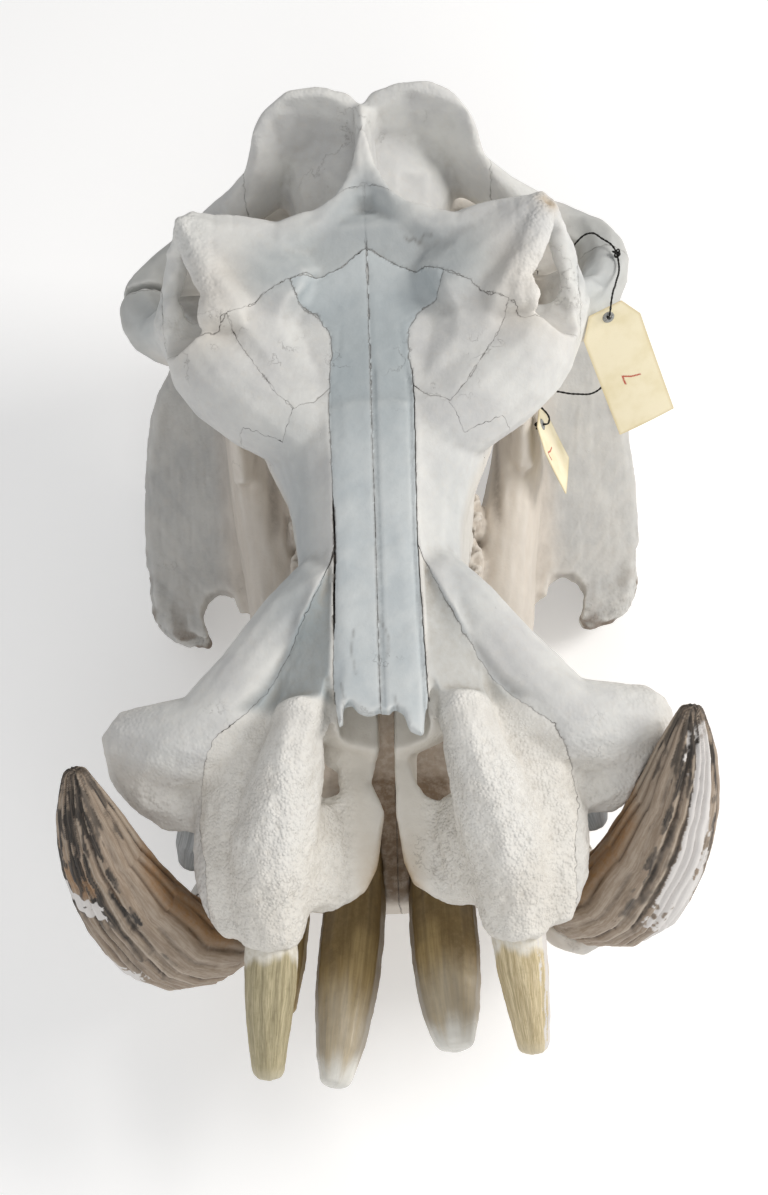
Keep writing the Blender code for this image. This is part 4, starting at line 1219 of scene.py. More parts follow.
@dataclass
class Mandible:
    """The lower jaw, in two halves that meet at the chin."""

    voxel: float = 2.15
    facet_rounds: int = 38
    seam_half: float = 0.15
    lip: float = 4.0

    def build(self) -> list[bpy.types.Object]:
        """Makes both halves.

        Returns:
            The pieces.
        """
        skin = Surface.from_nodes(["mandible_l", "mandible_r"], self.voxel)
        width, back, up = np.abs(skin.points[:, 0]), skin.points[:, 1], skin.points[:, 2]
        teeth = ramp(-np.abs(up - 160), -16, -8) * ramp(width, 100, 92)
        teeth *= ramp(back, 220, 232) * ramp(back, 480, 470)
        flat = ramp(up, 1.2, 0.2)
        skin.smooth(
            round(self.facet_rounds * (Mandible.voxel / self.voxel) ** 2),
            np.clip(0.95 * teeth + flat, 0, 1),
        )
        even = unled(skin.points)
        mirrored = folded(even)
        side, back, up = mirrored.T
        flange = ramp(side, 140, 165) * ramp(back, 330, 352)
        hook = bell(path_distance(mirrored, HOOK_EDGE), 17)
        # Muscle lines fan out over the flange from the hook.
        away = mirrored - FLANGE_FAN
        turn = np.arctan2(away[:, 0] + 60, away[:, 1] + 40)
        reach = np.linalg.norm(away, axis=1)
        fan = noise(np.column_stack([turn * 60, reach / 22, np.zeros(len(turn))]), 2.4, 31, 3)
        strips = noise(even, (5, 60, 9), 33, 3)
        chin = ramp(back, 300, 200) * ramp(up, 110, 130)
        rough = np.clip(0.85 * hook + 0.15 * flange + 0.4 * chin, 0, 1)
        height = flange * 0.15 * fan + 0.22 * strips + 0.4 * noise(even, 24, 34, 3)
        height += hook * (1.3 * noise(even, 9, 35, 3) + 0.7)
        porous = rough > 0.3
        holes = np.zeros(len(even))
        holes[porous] = pits(even[porous], 4.6, 36, 0.5)
        height -= 0.7 * holes * ramp(rough, 0.3, 0.8)
        near_row = ramp(up, 150, 157) * ramp(side, 104, 96) * ramp(side, 38, 44) * ramp(back, 224, 234)
        near_row *= ramp(back, 476, 468)
        skin.push(height * ramp(up, 0.5, 3) * (1 - near_row))
        skin.values["rough"] = rough
        # The hollow value paints shade into hollows and pits and a highlight on ridges.
        hollow = np.clip(skin.hollowness(7, 1.2) + 0.4 * skin.hollowness(50, 8.0), -1, 1)
        skin.values["hollow"] = np.clip(hollow + 0.3 * holes * ramp(rough, 0.3, 0.8), -1, 1)
        # The flanges are greyed through the shade-and-cool value.
        skin.values["cool"] = 0.25 * flange
        skin.values["warmth"] = np.clip(0.6 * ramp(side, 158, 130) + 0.08 * (fan > 0.3), 0, 1)
        patches = ramp(noise(even, 16, 38, 3), -0.1, 0.7)
        stain = hook * 0.75 * patches + 0.12 * flange * ramp(back, 420, 360) * patches
        stain += 1.0 * ramp(back, 330, 240) * ramp(up, 90, 112) * ramp(side, 70, 34) * ramp(back, 60, 85)
        skin.values["stain"] = np.clip(stain, 0, 0.9)
        skin.push(worn_teeth(skin, mirrored, LOWER_ROW, near_row) * (up > 140))
        level = even[:, 0] + 0.5 * noise(even, 8, 39, 2)
        skin.values["seam"] = np.zeros(len(even))
        skin.values["join"] = np.full(len(even), 0.6)
        finish = JAW_BONE.material()
        pieces = []
        for suffix, sign in (("_l", 1), ("_r", -1)):
            part = skin.clipped(level * sign - self.seam_half).with_lip(self.lip)
            pieces.append(bone_piece(part, "mandible" + suffix, finish))
        return pieces


@dataclass(frozen=True)
class IvoryFinish:
    """Tooth: dense and a little glossy, streaked along its length and stained by years of use."""

    name: str
    pale: str
    middle: str
    dark: str
    tip: str
    root: str
    groove: str = "#3B2E26"
    crest: str = "#CDC0AE"
    amber: str = "#96682F"
    black: str = "#2E2925"
    bare: str = "#DAD6D3"
    gloss: float = 0.36
    streak: float = 26.0

    def material(self) -> bpy.types.Material:
        """Builds the ivory.

        Returns:
            The material.
        """
        s = Shader(self.name)
        length = s.times(s.value("along"), 0.06)
        around = s.add("combine", X=s.value("cosine"), Y=s.value("sine"), Z=length).outputs[0]
        lines = s.add("noise", Vector=around, Scale=self.streak, Detail=4.0, Roughness=0.6).outputs[0]
        broad = s.add("noise", Vector=around, Scale=4.0, Detail=4.0, Roughness=0.6).outputs[0]
        fine = s.noise(4.5, 4, 0.62)
        colour = s.mix(s.stretch(lines, 0.36, 0.62), srgb(self.middle), srgb(self.pale))
        colour = s.tint(s.times(s.stretch(broad, 0.44, 0.68), 0.5), colour, self.dark)
        colour = s.tint(s.times(s.stretch(fine, 0.5, 0.75), 0.22), colour, self.dark)
        # The edge value darkens a tooth toward its sides: on a tusk its inner side, on a lower incisor
        # painted shade on the sides that face away from above.
        colour = s.tint(s.times(s.value("edge"), s.stretch(lines, 0.3, 0.6, 0.6, 1.0)), colour, self.dark)
        colour = s.tint(s.times(s.value("crest"), 0.7), colour, self.crest)
        for zone, layer, spread, tone in (
            ("groove", fine, (0.3, 0.6, 0.6, 0.95), self.groove),
            ("tip", broad, (0.2, 0.5, 0.8, 1.0), self.tip),
            ("root", fine, (0.3, 0.6, 0.7, 1.0), self.root),
            ("amber", fine, (0.3, 0.7, 0.5, 1.0), self.amber),
            ("black", lines, (0.3, 0.6, 0.7, 1.0), self.black),
        ):
            colour = s.tint(s.times(s.value(zone), s.stretch(layer, *spread)), colour, tone)
        colour = s.tint(s.value("bare"), colour, self.bare)
        roughness = s.stretch(s.value("tip"), 0, 1, self.gloss + 0.14, self.gloss - 0.1)
        relief = s.bump(lines, 0.35)
        relief = s.bump(fine, 0.15, relief)
        return s.finish(colour, roughness, relief)


@dataclass(frozen=True)
class ToothForm:
    """Where a tooth's middle line runs on the left side, and how its surface is worked."""

    line: tuple[tuple[float, float, float], ...]
    inward: tuple[float, float, float]
    slot: Slot
    streaks: float
    streak_depth: float
    bands: float
    voxel: float = 1.1


TOOTH_SWEEP = 0.06
TUSK_RADIUS = 34.0
TUSK_LINE = (
    (112, 128, 78), (134, 84, 94), (156, 51, 125), (176, 46, 162),
    (197, 63, 204), (211, 87, 246), (218, 112, 282), (221, 131, 306),
)
LONG_INCISOR = ((33, 140, 104), (35, 70, 120), (40, 12, 134), (46, -42, 142), (50, -69, 144))
SHORT_INCISOR = ((33, 140, 104), (34, 72, 120), (36, 22, 134), (38, -26, 142), (40, -50, 144))
TOOTH_FORMS = {
    "lower_canine": ToothForm(TUSK_LINE, (-0.85, 0.1, 0.5), Slot.CANINE, 9, 0.3, 0.15),
    "upper_canine": ToothForm(
        ((126, 160, 236), (141, 128, 218), (150, 106, 201), (154, 96, 191)), (0, 1, 0), Slot.CANINE, 9,
        0.2, 0.15,
    ),
    "upper_incisor_1": ToothForm(
        ((88, 60, 226), (91, 8, 208), (95, -32, 188), (98, -62, 166)), (0, 0, 1), Slot.INCISOR, 14, 0.25,
        0.15,
    ),
    "upper_incisor_2": ToothForm(
        ((112, 74, 214), (118, 56, 192), (121, 48, 168)), (0, 1, 0), Slot.INCISOR, 9, 0.2, 0.1
    ),
    "lower_incisor_1": ToothForm(LONG_INCISOR, (0, 0, 1), Slot.INCISOR, 6, 0.12, 0.25),
    "lower_incisor_1_l": ToothForm(SHORT_INCISOR, (0, 0, 1), Slot.INCISOR, 6, 0.12, 0.25),
    "lower_incisor_2": ToothForm(
        ((82, 130, 100), (84, 70, 112), (86, 25, 126), (88, -10, 136)), (0, 0, 1), Slot.INCISOR, 8, 0.15,
        0.15,
    ),
}
TUSK_IVORY = IvoryFinish(
    "stained tusk", "#AFA090", "#998876", "#776350", "#A8988A", "#CFC8BC", gloss=0.42, streak=24
)
LOWER_IVORY = IvoryFinish(
    "brown lower incisor", "#AB9567", "#978157", "#5E4927", "#E2E1DB", "#6F5B38", gloss=0.3, streak=7
)
UPPER_IVORY = IvoryFinish(
    "olive upper incisor", "#C3B795", "#A39877", "#72684A", "#CCC4AC", "#E4E0D6", gloss=0.42, streak=26
)
PALE_IVORY = IvoryFinish(
    "pale upper incisor", "#E2D2AE", "#BFAE86", "#8F7C55", "#D6CBB0", "#E4E0D6", gloss=0.42, streak=26
)
GREY_IVORY = IvoryFinish(
    "grey canine tip", "#C0C5C8", "#A8AEB2", "#85898B", "#C0C6CA", "#BDB6AA", streak=14
)


@dataclass
class Tooth:
    """One free-standing tooth."""

    kind: str
    suffix: str
    finish: bpy.types.Material
    ridge_pitch: float = 11.5

    def _turned(self, skin: Surface, form: ToothForm, sign: int) -> tuple[Array, Array, Array]:
        """Where each point lies along and around the tooth.

        Args:
            skin: The tooth's skin.
            form: Its form.
            sign: 1 on the left, -1 on the right.

        Returns:
            Millimetres along, the share of the length, and the turn in radians, zero in front and
            positive toward the middle of the skull.
        """
        line = np.array(form.line, float)
        line[:, 1] += sign * TOOTH_SWEEP * line[:, 0]
        line[:, 0] *= sign
        inward = np.array(form.inward, float) * (sign, 1, 1)
        lengths = np.concatenate([[0], np.cumsum(np.linalg.norm(np.diff(line, axis=0), axis=1))])
        dense = np.linspace(0, lengths[-1], 160)
        middle = np.stack([np.interp(dense, lengths, line[:, k]) for k in range(3)], axis=1)
        run = np.gradient(middle, axis=0)
        run /= np.linalg.norm(run, axis=1, keepdims=True)
        nearest = np.empty(len(skin.points), int)
        for start in range(0, len(skin.points), 20000):
            block = skin.points[start : start + 20000]
            nearest[start : start + 20000] = (
                (block[:, None, :] - middle[None]) ** 2
            ).sum(axis=2).argmin(axis=1)
        tangent = run[nearest]
        front = sign * np.cross(tangent, inward)
        front /= np.linalg.norm(front, axis=1, keepdims=True)
        medial = sign * np.cross(front, tangent)
        away = skin.points - middle[nearest]
        along = dense[nearest] + (away * tangent).sum(axis=1)
        turn = np.arctan2((away * medial).sum(axis=1), (away * front).sum(axis=1))
        return along, along / lengths[-1], turn

    def _tusk(self, skin: Surface, along: Array, turn: Array, sign: int) -> dict[str, Array]:
        """Works the growth ridges, the bare band and the stains of a tusk.

        Args:
            skin: The tusk's skin, which is changed.
            along: Millimetres along it.
            turn: The turn around it.
            sign: 1 on the left, -1 on the right.

        Returns:
            Values for the material.
        """
        outward = skin.normals() @ np.array([sign, 0.0, 0.0])
        arc = turn * TUSK_RADIUS
        swept = np.column_stack([along / 70, np.cos(turn) * 1.2, np.sin(turn) * 1.2])
        phase = (arc + 4.5 * noise(swept, 1, 81, 2)) / self.ridge_pitch
        which = np.floor(phase)
        strong = 0.5 + 0.5 * lattice(np.column_stack([which, 0 * which, 0 * which]).astype(np.int64), 83)
        inside = (phase - which - 0.5) * self.ridge_pitch
        broken = 0.35 + 0.65 * ramp(
            noise(np.column_stack([along / 26, which * 3.7, 0 * which]), 1, 84, 2), -0.5, 0.3
        )
        groove = bell(inside, 1.5) * (0.35 + 0.65 * strong) * broken
        crest = bell(inside - 2.8, 1.2) * strong
        skin.push(-1.7 * groove + 0.5 * crest - 0.7 * np.cos(inside / self.ridge_pitch * 2 * np.pi))
        up = skin.points[:, 2]
        blotch = noise(np.column_stack([along / 16, arc / 5, 0 * arc]), 1, 85, 3)
        smudge = noise(skin.points, 9, 86, 2)
        band = ramp(outward + 0.02 * smudge, 0.20, 0.22) * ramp(outward + 0.03 * smudge, 0.72, 0.70)
        if sign > 0:
            bare = band * ramp(up + 3 * smudge, 112, 118) * ramp(up + 4 * smudge, 304, 300)
        else:
            chips = (bell(np.abs(up - 232), 9) + ramp(up, 176, 168)) * (smudge > -0.55)
            bare = ramp(outward + 0.03 * smudge, 0.2, 0.22) * np.clip(chips, 0, 1) * ramp(up, 110, 118)
            bare = (bare > 0.5).astype(float)
        beside = bell(outward - 0.80, 0.06) * ramp(blotch, -0.35, 0.1)
        beside += bell(outward - 0.09, 0.13) * ramp(
            blotch, -0.35 - 0.45 * (sign > 0), 0.1 - 0.45 * (sign > 0)
        )
        black = beside * ramp(up, 140, 200) * 0.9
        black += ramp(up + 26 * blotch, 284, 306) * 0.8
        if sign < 0:
            black += ramp(outward, -0.05, 0.2) * ramp(blotch, -0.35, 0.1) * ramp(up, 205, 232)
        inner = ramp(turn, 0.7, 1.25)
        black += 0.7 * inner * groove * ramp(up, 130, 160)
        amber = ramp(turn, 1.0, 1.4) * ramp(up, 138, 170) * ramp(up, 262, 240) * 0.7
        if sign < 0:
            amber += 0.7 * bell(up - 252, 14) * ramp(outward, 0.0, 0.2) * (blotch < 0.2)
        root = ramp(up + 5 * smudge, 112, 98)
        return {
            "groove": np.clip(1.5 * groove**1.4, 0, 1),
            "crest": crest,
            "bare": bare,
            "black": np.clip(black, 0, 1),
            "amber": np.clip(amber, 0, 1),
            "root": root,
            "edge": 0.35 * np.clip(inner, 0, 1),
        }

    def build(self) -> bpy.types.Object:
        """Makes the tooth.

        Returns:
            The piece.
        """
        name = self.kind + self.suffix
        form = TOOTH_FORMS.get(name, TOOTH_FORMS[self.kind])
        sign = 1 if self.suffix == "_l" else -1
        skin = Surface.from_nodes([name], form.voxel)
        skin.smooth(30)
        along, share, turn = self._turned(skin, form, sign)
        ring = np.column_stack([np.cos(turn), np.sin(turn), along / 120])
        height = form.streak_depth * noise(ring * form.streaks / 3, (1, 1, 1.4), 51 + len(name), 2)
        height += form.bands * noise(
            np.column_stack([along / 12, ring[:, 0] * 0.6, ring[:, 1] * 0.6]), 1, 53, 2
        )
        height += 0.2 * noise(skin.points, 12, 55, 3)
        skin.push(height)
        zero = np.zeros(len(share))
        values = {key: zero for key in ("tip", "root", "bare", "amber", "black", "groove", "crest", "edge")}
        blotch = noise(ring * 2.2, 1, 57, 3)
        back = skin.points[:, 1]
        if self.kind == "lower_canine":
            values.update(self._tusk(skin, along, turn, sign))
        elif self.kind == "lower_incisor_1":
            up_share = skin.normals()[:, 2]
            values["tip"] = 0.3 * ramp(share + 0.04 * blotch, 0.6, 0.85)
            values["tip"] += 0.6 * ramp(share + 0.02 * blotch, 0.9, 1.0)
            # Painted shade: the incisor's sides, which face away from above, are darkened everywhere but at
            # the tip.
            values["edge"] = ramp(up_share, 0.85, 0.25) * ramp(share, 1.02, 0.85) * 0.9
            # Darker brown toward the back, where the incisor runs in under the premaxilla: partly the
            # tooth's own stain, partly painted shadow of the premaxilla.
            values["root"] = 0.75 * ramp(back + 14 * blotch, 6, 40)
        elif self.kind == "upper_incisor_1":
            values["root"] = ramp(back + 4 * blotch, -2, 6)
            values["tip"] = 0.5 * ramp(share, 0.93, 1.0)
            chipped = (skin.normals()[:, 0] > 0.75) & (sign > 0)
            values["bare"] = 0.9 * chipped * ramp(blotch, -0.3, 0.0)
            values["black"] = 0.8 * chipped * bell(share - 0.84, 0.05)
        skin.values.update(values)
        skin.values["cosine"], skin.values["sine"] = ring[:, 0], ring[:, 1]
        skin.values["along"] = along / 20
        piece = skin.as_object(name + "_tooth", self.finish)
        settle(piece, name)
        LOG.info("%s: %d triangles", piece.name, len(skin.faces))
        return piece


@dataclass(frozen=True)
class PaperFinish:
    """Stiff yellow label paper: faint fibres and handling marks, so it reads as paper, with red ink."""

    paper: str = "#F3E9CB"
    worn: str = "#E9DDB8"
    fibre: str = "#CDB981"
    edge: str = "#C9B27A"
    ink: str = "#B8452F"

    def material(self) -> bpy.types.Material:
        """Builds the paper.

        Returns:
            The material.
        """
        s = Shader("label paper")
        colour = s.mix(s.stretch(s.noise(28, 3, 0.6), 0.4, 0.75), srgb(self.paper), srgb(self.worn))
        fibres = s.noise(0.9, 3, 0.7)
        colour = s.tint(s.times(s.stretch(fibres, 0.55, 0.75), 0.18), colour, self.fibre)
        colour = s.tint(s.times(s.value("edge"), 0.45), colour, self.edge)
        colour = s.tint(s.times(s.value("ink"), s.stretch(fibres, 0.2, 0.5, 0.65, 1.0)), colour, self.ink)
        return s.finish(colour, 0.82, s.bump(fibres, 0.06))


@dataclass(frozen=True)
class ThreadFinish:
    """Twisted black cotton: dull, with paler fluff, so it reads as string and not as wire."""

    cotton: str = "#14120F"
    fluff: str = "#3C3833"

    def material(self) -> bpy.types.Material:
        """Builds the thread.

        Returns:
            The material.
        """
        s = Shader("black cotton")
        fluff = s.noise(0.7, 3, 0.7)
        colour = s.mix(s.times(s.stretch(fluff, 0.5, 0.8), 0.5), srgb(self.cotton), srgb(self.fluff))
        return s.finish(colour, 0.85, s.bump(fluff, 0.12))


@dataclass(frozen=True)
class EyeletFinish:
    """Pressed zinc, dulled: soft grey gloss with small scratches, so it reads as a metal ring."""

    zinc: str = "#A5A6A4"
    scratched: str = "#7E7F7D"
    metallic: float = 0.85

    def material(self) -> bpy.types.Material:
        """Builds the metal.

        Returns:
            The material.
        """
        s = Shader("dull zinc")
        worn = s.noise(1.2, 3, 0.6)
        colour = s.mix(s.stretch(worn, 0.4, 0.7), srgb(self.zinc), srgb(self.scratched))
        s.surface.inputs["Metallic"].default_value = self.metallic
        return s.finish(colour, s.stretch(worn, 0.3, 0.7, 0.34, 0.55), s.bump(worn, 0.05))


@dataclass
class Card:
    """A stiff paper label with clipped top corners, an eyelet and a handwritten number."""

    name: str
    top: tuple[float, float, float]
    down: tuple[float, float, float]
    across: tuple[float, float, float]
    length: float
    number_at: tuple[float, float]
    curl: float = 3.0
    width: float = 51.0
    thick: float = 0.6
    taper: float = 11.0
    shoulder: float = 20.0
    eyelet_radius: float = 2.6
    eyelet_down: float = 9.0

    def __post_init__(self) -> None:
        self.origin = np.array(self.top)
        self.along = np.array(self.down) / np.linalg.norm(self.down)
        side = np.array(self.across)
        side = side - self.along * (side @ self.along)
        self.side = side / np.linalg.norm(side)
        self.face = -np.cross(self.side, self.along)

    def hole(self) -> Array:
        """The middle of the eyelet.

        Returns:
            Its place in millimetres.
        """
        return self.origin + self.along * self.eyelet_down

    def _places(self, plan: Array, lift: Array | float) -> Array:
        """Turns places on the card into places in the skull's frame.

        Args:
            plan: Millimetres across and down.
            lift: Millimetres off the card's middle, toward its written face.

        Returns:
            Places in millimetres.
        """
        bend = self.curl * np.clip((plan[:, 1] - 20) / (self.length - 20), 0, 1) ** 2
        bend -= 0.25 * self.curl * (plan[:, 0] * 2 / self.width) ** 2 * ramp(plan[:, 1], 15, 45)
        flat = self.origin + plan[:, :1] * self.side + plan[:, 1:] * self.along
        return flat + (bend + lift)[:, None] * self.face

    def sheet(self, finish: bpy.types.Material) -> bpy.types.Object:
        """Makes the paper.

        Args:
            finish: Its material.

        Returns:
            The piece.
        """
        step, half = 0.75, self.width / 2
        columns = np.arange(-half - 1, half + 1 + step, step)
        rows = np.arange(-1, self.length + 1 + step, step)
        across, down = np.meshgrid(columns, rows, indexing="ij")
        plan = np.column_stack([across.ravel(), down.ravel()])
        count = len(rows)
        corner = (np.arange(len(columns) - 1)[:, None] * count + np.arange(count - 1)).reshape(-1)
        faces = np.vstack(
            [
                np.column_stack([corner, corner + count + 1, corner + count]),
                np.column_stack([corner, corner + 1, corner + count + 1]),
            ]
        )
        outline = [
            (self.taper - half, 0), (half - self.taper, 0), (half, self.shoulder), (half, self.length)
        ]
        outline += [(-half, self.length), (-half, self.shoulder)]
        rim = inside_distance(plan, outline)
        hole = np.hypot(plan[:, 0], plan[:, 1] - self.eyelet_down) - self.eyelet_radius
        x, d = self.number_at
        seven = [(x - 6.5, d + 4), (x - 7.2, d), (x - 7, d - 4.6), (x, d - 0.4), (x + 7.5, d + 1.6)]
        ink = ramp(path_distance(plan, seven), 0.95, 0.5)
        values = {"edge": bell(rim, 1.6), "ink": ink}
        flat = Surface(
            self._places(plan, np.full(len(plan), self.thick / 2)), faces, np.zeros((0, 2), int), values
        )
        front = flat.clipped(np.minimum(rim, hole))
        whole = front.with_lip(self.thick)
        behind = front.points - front.normals() * self.thick
        both = {k: np.concatenate([v, front.values[k] * (k == "edge")]) for k, v in whole.values.items()}
        turned = front.faces[:, ::-1] + len(whole.points)
        sheet = Surface(
            np.vstack([whole.points, behind]), np.vstack([whole.faces, turned]), front.links, both
        )
        piece = sheet.as_object(self.name + "_paper", finish)
        settle(piece, self.name)
        LOG.info("%s: %d triangles", piece.name, len(sheet.faces))
        return piece

    def eyelet(self, finish: bpy.types.Material) -> bpy.types.Object:
        """Makes the ring that lines the hole.

        Args:
            finish: Its material.

        Returns:
            The piece.
        """
        profile = [(0, 0.9), (0.25, 1.25), (0.9, 1.35), (2.2, 1.0), (2.9, 0.55), (2.9, 0.3)]
        profile += [(2.9, -0.3), (2.2, -0.8), (0.9, -1.0), (0.25, -0.9), (0, -0.5)]
        turns, count = 48, len(profile)
        rings = []
        for turn in np.arange(turns) * 2 * math.pi / turns:
            out = np.cos(turn) * self.side + np.sin(turn) * self.along
            rings += [
                self.hole() + out * (self.eyelet_radius - 0.5 + r) + self.face * h for r, h in profile
            ]
        base = np.arange(turns)[:, None] * count + np.arange(count)
        nxt = np.roll(base, -1, axis=0)
        up, up_nxt = np.roll(base, -1, axis=1), np.roll(nxt, -1, axis=1)
        faces = [np.stack([base, nxt, up_nxt], -1), np.stack([base, up_nxt, up], -1)]
        ring = Surface(np.array(rings), np.vstack([f.reshape(-1, 3) for f in faces]), np.zeros((0, 2), int))
        piece = ring.as_object(self.name + "_eyelet", finish)
        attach(piece, "root")
        return piece


@dataclass
class Thread:
    """A two-ply string on a smooth line."""

    radius: float = 0.9
    lay: float = 4.5
    sides: int = 10

    def line(self, points: Sequence[Sequence[float]], closed: bool) -> Array:
        """Draws a smooth line through the points.

        Args:
            points: Where it runs, in millimetres.
            closed: Whether it joins its own start.

        Returns:
            Close places along it.
        """
        curve = bpy.data.curves.new("line", "CURVE")
        curve.dimensions = "3D"
        curve.resolution_u = 16
        spline = curve.splines.new("BEZIER")
        spline.bezier_points.add(len(points) - 1)
        for knot, place in zip(spline.bezier_points, points):
            knot.co = place
            knot.handle_left_type = knot.handle_right_type = "AUTO"
        spline.use_cyclic_u = closed
        holder = bpy.data.objects.new("line", curve)
        bpy.context.scene.collection.objects.link(holder)
        mesh = holder.to_mesh()
        places = np.array([tuple(v.co) for v in mesh.vertices])
        bpy.data.objects.remove(holder)
        bpy.data.curves.remove(curve)
        return places

    def tube(self, line: Array, closed: bool) -> tuple[Array, Array]:
        """Wraps a twisted tube round a line.

        Args:
            line: Close places along it.
            closed: Whether it joins its own start.

        Returns:
            Points and triangles.
        """
        if closed:
            tangent = np.roll(line, -1, axis=0) - np.roll(line, 1, axis=0)
        else:
            tangent = np.gradient(line, axis=0)
        tangent /= np.linalg.norm(tangent, axis=1, keepdims=True)
        side = np.cross(tangent[0], (0.3, 0.5, 0.8))
        gone, rings = 0.0, []
        angle = np.arange(self.sides) * 2 * math.pi / self.sides
        for i, place in enumerate(line):
            side = side - tangent[i] * (side @ tangent[i])
            side /= np.linalg.norm(side)
            top = np.cross(tangent[i], side)
            if i:
                gone += np.linalg.norm(place - line[i - 1])
            swell = self.radius * (0.86 + 0.16 * np.cos(2 * (angle - gone * math.pi / self.lay)))
            rings.append(
                place + swell[:, None] * (np.cos(angle)[:, None] * side + np.sin(angle)[:, None] * top)
            )
        count = len(line)
        base = np.arange(count if closed else count - 1)[:, None] * self.sides + np.arange(self.sides)
        nxt = (base + self.sides) % (count * self.sides)
        turn = np.arange(self.sides)
        ahead = np.roll(turn, -1) - turn
        faces = [np.stack([base, nxt, nxt + ahead], -1), np.stack([base, nxt + ahead, base + ahead], -1)]
        faces = np.vstack([f.reshape(-1, 3) for f in faces])
        if not closed:
            first = np.column_stack([np.zeros(self.sides - 2, int), turn[2:], turn[1:-1]])
            last = (count - 1) * self.sides + np.column_stack(
                [np.zeros(self.sides - 2, int), turn[1:-1], turn[2:]]
            )
            faces = np.vstack([faces, first, last])
        return np.vstack(rings), faces

    def knot(self, place: Sequence[float], size: float, tilt: float) -> tuple[Array, Array]:
        """Winds a small overhand knot.

        Args:
            place: Its middle.
            size: Half its width.
            tilt: How far it is turned, in radians.

        Returns:
            Points and triangles.
        """
        t = np.linspace(0, 2 * math.pi, 60, endpoint=False)
        loop = np.column_stack(
            [np.sin(t) + 2 * np.sin(2 * t), np.cos(t) - 2 * np.cos(2 * t), -1.6 * np.sin(3 * t)]
        )
        turn = np.array(Matrix.Rotation(tilt, 3, (0.4, 0.7, 0.6)))
        return self.tube(np.asarray(place) + loop @ turn.T * (size / 3), True)


@dataclass
class Labels:
    """Two paper labels on one black string, which is looped round the left cheek arch."""

    def build(self) -> list[bpy.types.Object]:
        """Makes the labels and their string.

        Returns:
            The pieces.
        """
        large = Card(
            "tag_1", (189.2, 500.2, 303.4), (0.304, -0.297, -0.905), (0.918, 0.345, 0.196), 124, (1, 74)
        )
        small = Card(
            "tag_2", (134.6, 462, 208), (0.355, -0.369, -0.859), (0.127, 0.929, -0.347), 68, (-12, 30), 1.0
        )
        paper, zinc = PaperFinish().material(), EyeletFinish().material()
        pieces = [card.sheet(paper) for card in (large, small)]
        pieces += [card.eyelet(zinc) for card in (large, small)]
        thread = Thread()
        hole, other = large.hole(), small.hole()
        over = hole + large.face * 4.5 - large.along * 3
        loop = [
            (186, 592, 285), (195, 589, 281), (204, 579, 281), (207, 563, 280), (201, 532, 293),
            (194.6, 505, 310.5),
        ]
        loop += [
            over, hole, hole - large.face * 6, (199, 504, 268), (205, 514, 244), (201, 538, 226),
            (190, 562, 226),
        ]
        loop += [(171, 573, 239), (166, 582, 258), (174, 589, 278)]
        tail = [
            (190, 562, 226), (195, 545, 212), (196, 520, 203), (194, 500, 198), (187, 491, 198),
            (167, 482, 209),
        ]
        through = -small.face if small.face[0] < 0 else small.face
        end = other - through * 4
        tail += [(148, 484, 212), (133, 478, 218), other + through * 6, other, end]
        ring, lead = thread.line(loop, True), thread.line(tail, False)
        for what, line in (("loop", np.vstack([ring, ring[:1]])), ("tail", lead)):
            LOG.info("string %s: %.0f mm", what, np.linalg.norm(np.diff(line, axis=0), axis=1).sum())
        parts = [thread.tube(ring, True), thread.tube(lead, False)]
        parts += [
            thread.knot((206, 572, 282), 3.4, 0.4), thread.knot((190, 562, 226), 3.0, 1.2),
            thread.knot(end, 2.8, 2.0),
        ]
        points, faces, offset = [], [], 0
        for place, triangles in parts:
            points.append(place)
            faces.append(triangles + offset)
            offset += len(place)
        string = Surface(np.vstack(points), np.vstack(faces), np.zeros((0, 2), int))
        piece = string.as_object("tag_string_thread", ThreadFinish().material())
        settle(piece, "tag_string")
        LOG.info("%s: %d triangles", piece.name, len(string.faces))
        return [*pieces, piece]


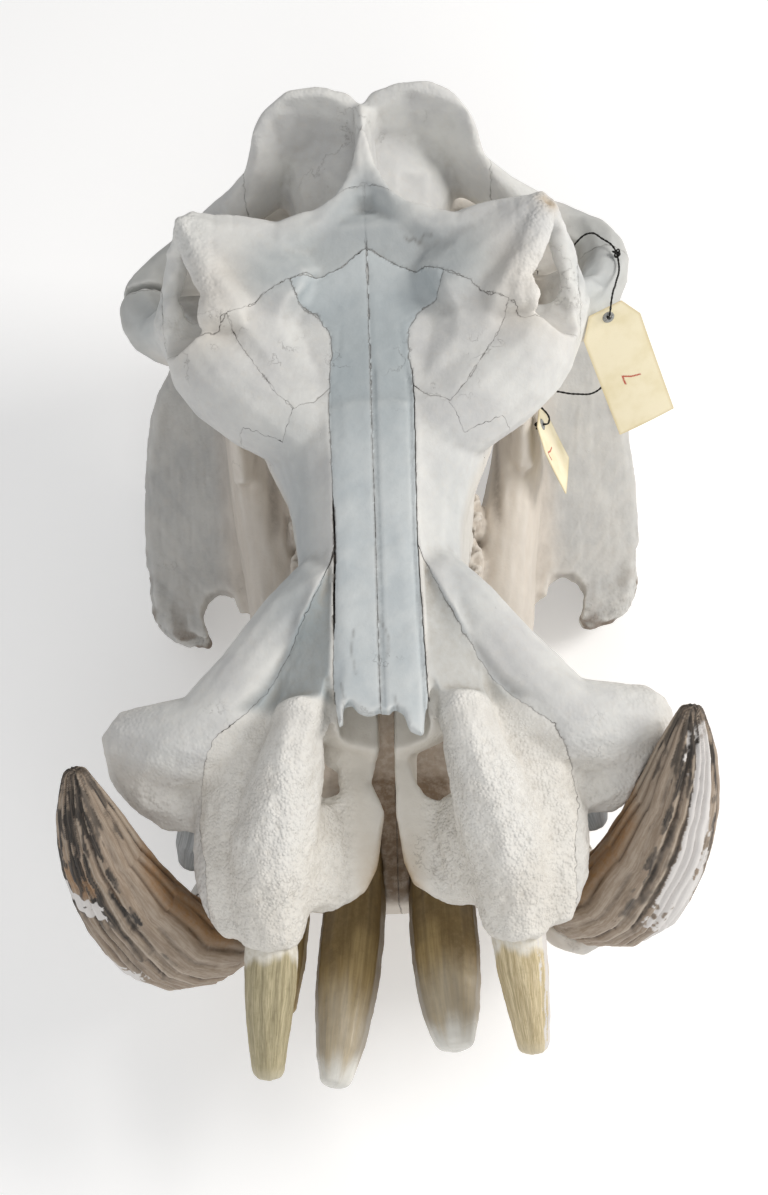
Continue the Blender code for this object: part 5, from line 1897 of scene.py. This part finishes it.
@dataclass
class Studio:
    """The camera, the pale floor and the soft lights."""

    eye: tuple[float, float, float] = (53.46, -655.79, 1441.72)
    right: tuple[float, float, float] = (0.9978752, -0.02501038, -0.0601629)
    above: tuple[float, float, float] = (0.04961846, 0.89016321, 0.45293209)
    behind: tuple[float, float, float] = (0.04222679, -0.45495489, 0.88951276)
    lens: float = 51.695
    floor_half: float = 6.0
    floor_glow: float = 0.24
    air: float = 0.39

    def camera(self) -> None:
        """Places the camera where the photograph was taken."""
        data = bpy.data.cameras.new("Camera")
        data.lens = self.lens
        data.sensor_width = 36.0
        data.sensor_fit = "AUTO"
        data.clip_start = 0.01
        eye = [c * MM for c in self.eye]
        camera = bpy.data.objects.new("Camera", data)
        camera.matrix_world = Matrix(
            [[self.right[i], self.above[i], self.behind[i], eye[i]] for i in range(3)] + [[0, 0, 0, 1]]
        )
        bpy.context.scene.collection.objects.link(camera)
        bpy.context.scene.camera = camera

    def floor(self) -> None:
        """Lays a flat pale floor."""
        shader = Shader("pale floor")
        tone = shader.mix(
            shader.stretch(shader.noise(900, 2, 0.5), 0.2, 0.8), srgb("#FBFBFB"), srgb("#F7F7F7")
        )
        shader.surface.inputs["Emission Color"].default_value = srgb("#FFFFFF")
        shader.surface.inputs["Emission Strength"].default_value = self.floor_glow
        material = shader.finish(tone, 0.9, None)
        mesh = bpy.data.meshes.new("Floor")
        size = self.floor_half
        mesh.from_pydata(
            [(-size, -size, 0), (size, -size, 0), (size, size, 0), (-size, size, 0)], [], [(0, 1, 2, 3)]
        )
        mesh.materials.append(material)
        floor = bpy.data.objects.new("Floor", mesh)
        floor.location.z = -0.0005
        bpy.context.scene.collection.objects.link(floor)

    def light(
        self, name: str, place: tuple[float, float, float], size: float, power: float, tint: str
    ) -> None:
        """Hangs a soft square light that faces the skull.

        Args:
            name: Its name.
            place: Where it hangs, in metres.
            size: The side of the square in metres.
            power: Its power in watts.
            tint: Its colour.
        """
        data = bpy.data.lights.new(name, "AREA")
        data.size = size
        data.energy = power
        data.color = srgb(tint)[:3]
        lamp = bpy.data.objects.new(name, data)
        lamp.location = place
        toward = Matrix.Translation(place).inverted().translation
        lamp.rotation_euler = toward.to_track_quat("-Z", "Y").to_euler()
        bpy.context.scene.collection.objects.link(lamp)

    def build(self) -> None:
        """Sets the whole studio up."""
        self.camera()
        self.floor()
        self.light("Key", (2.5, 0.35, 1.95), size=1.3, power=58, tint="#FFFCF8")
        self.light("Fill", (-1.8, -1.0, 1.6), size=2.2, power=4, tint="#F2F6FF")
        self.light("Front", (0.1, -2.0, 2.1), size=1.5, power=15, tint="#FFFEFC")
        world = bpy.data.worlds.new("Studio air")
        world.use_nodes = True
        air = world.node_tree.nodes["Background"].inputs
        air["Color"].default_value = srgb("#FFFFFF")
        air["Strength"].default_value = self.air
        bpy.context.scene.world = world
        bpy.context.scene.view_settings.view_transform = "Standard"


def main() -> None:
    """Builds every piece of the skull and its studio."""
    logging.basicConfig(level=logging.INFO, format="%(message)s")
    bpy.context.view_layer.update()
    quick = 1.0
    Studio().build()
    Cranium(voxel=Cranium.voxel * quick).build()
    Mandible(voxel=Mandible.voxel * quick).build()
    tusk, lower, upper, grey = (f.material() for f in (TUSK_IVORY, LOWER_IVORY, UPPER_IVORY, GREY_IVORY))
    pale = PALE_IVORY.material()
    finishes = {
        "lower_canine": tusk,
        "upper_canine": grey,
        "upper_incisor_1": upper,
        "upper_incisor_2": upper,
        "lower_incisor_1": lower,
        "lower_incisor_2": lower,
    }
    for kind, finish in finishes.items():
        for suffix in ("_l", "_r"):
            lighter = kind == "upper_incisor_1" and suffix == "_l"
            Tooth(kind, suffix, pale if lighter else finish).build()
    Labels().build()


if __name__ == "__main__":
    main()
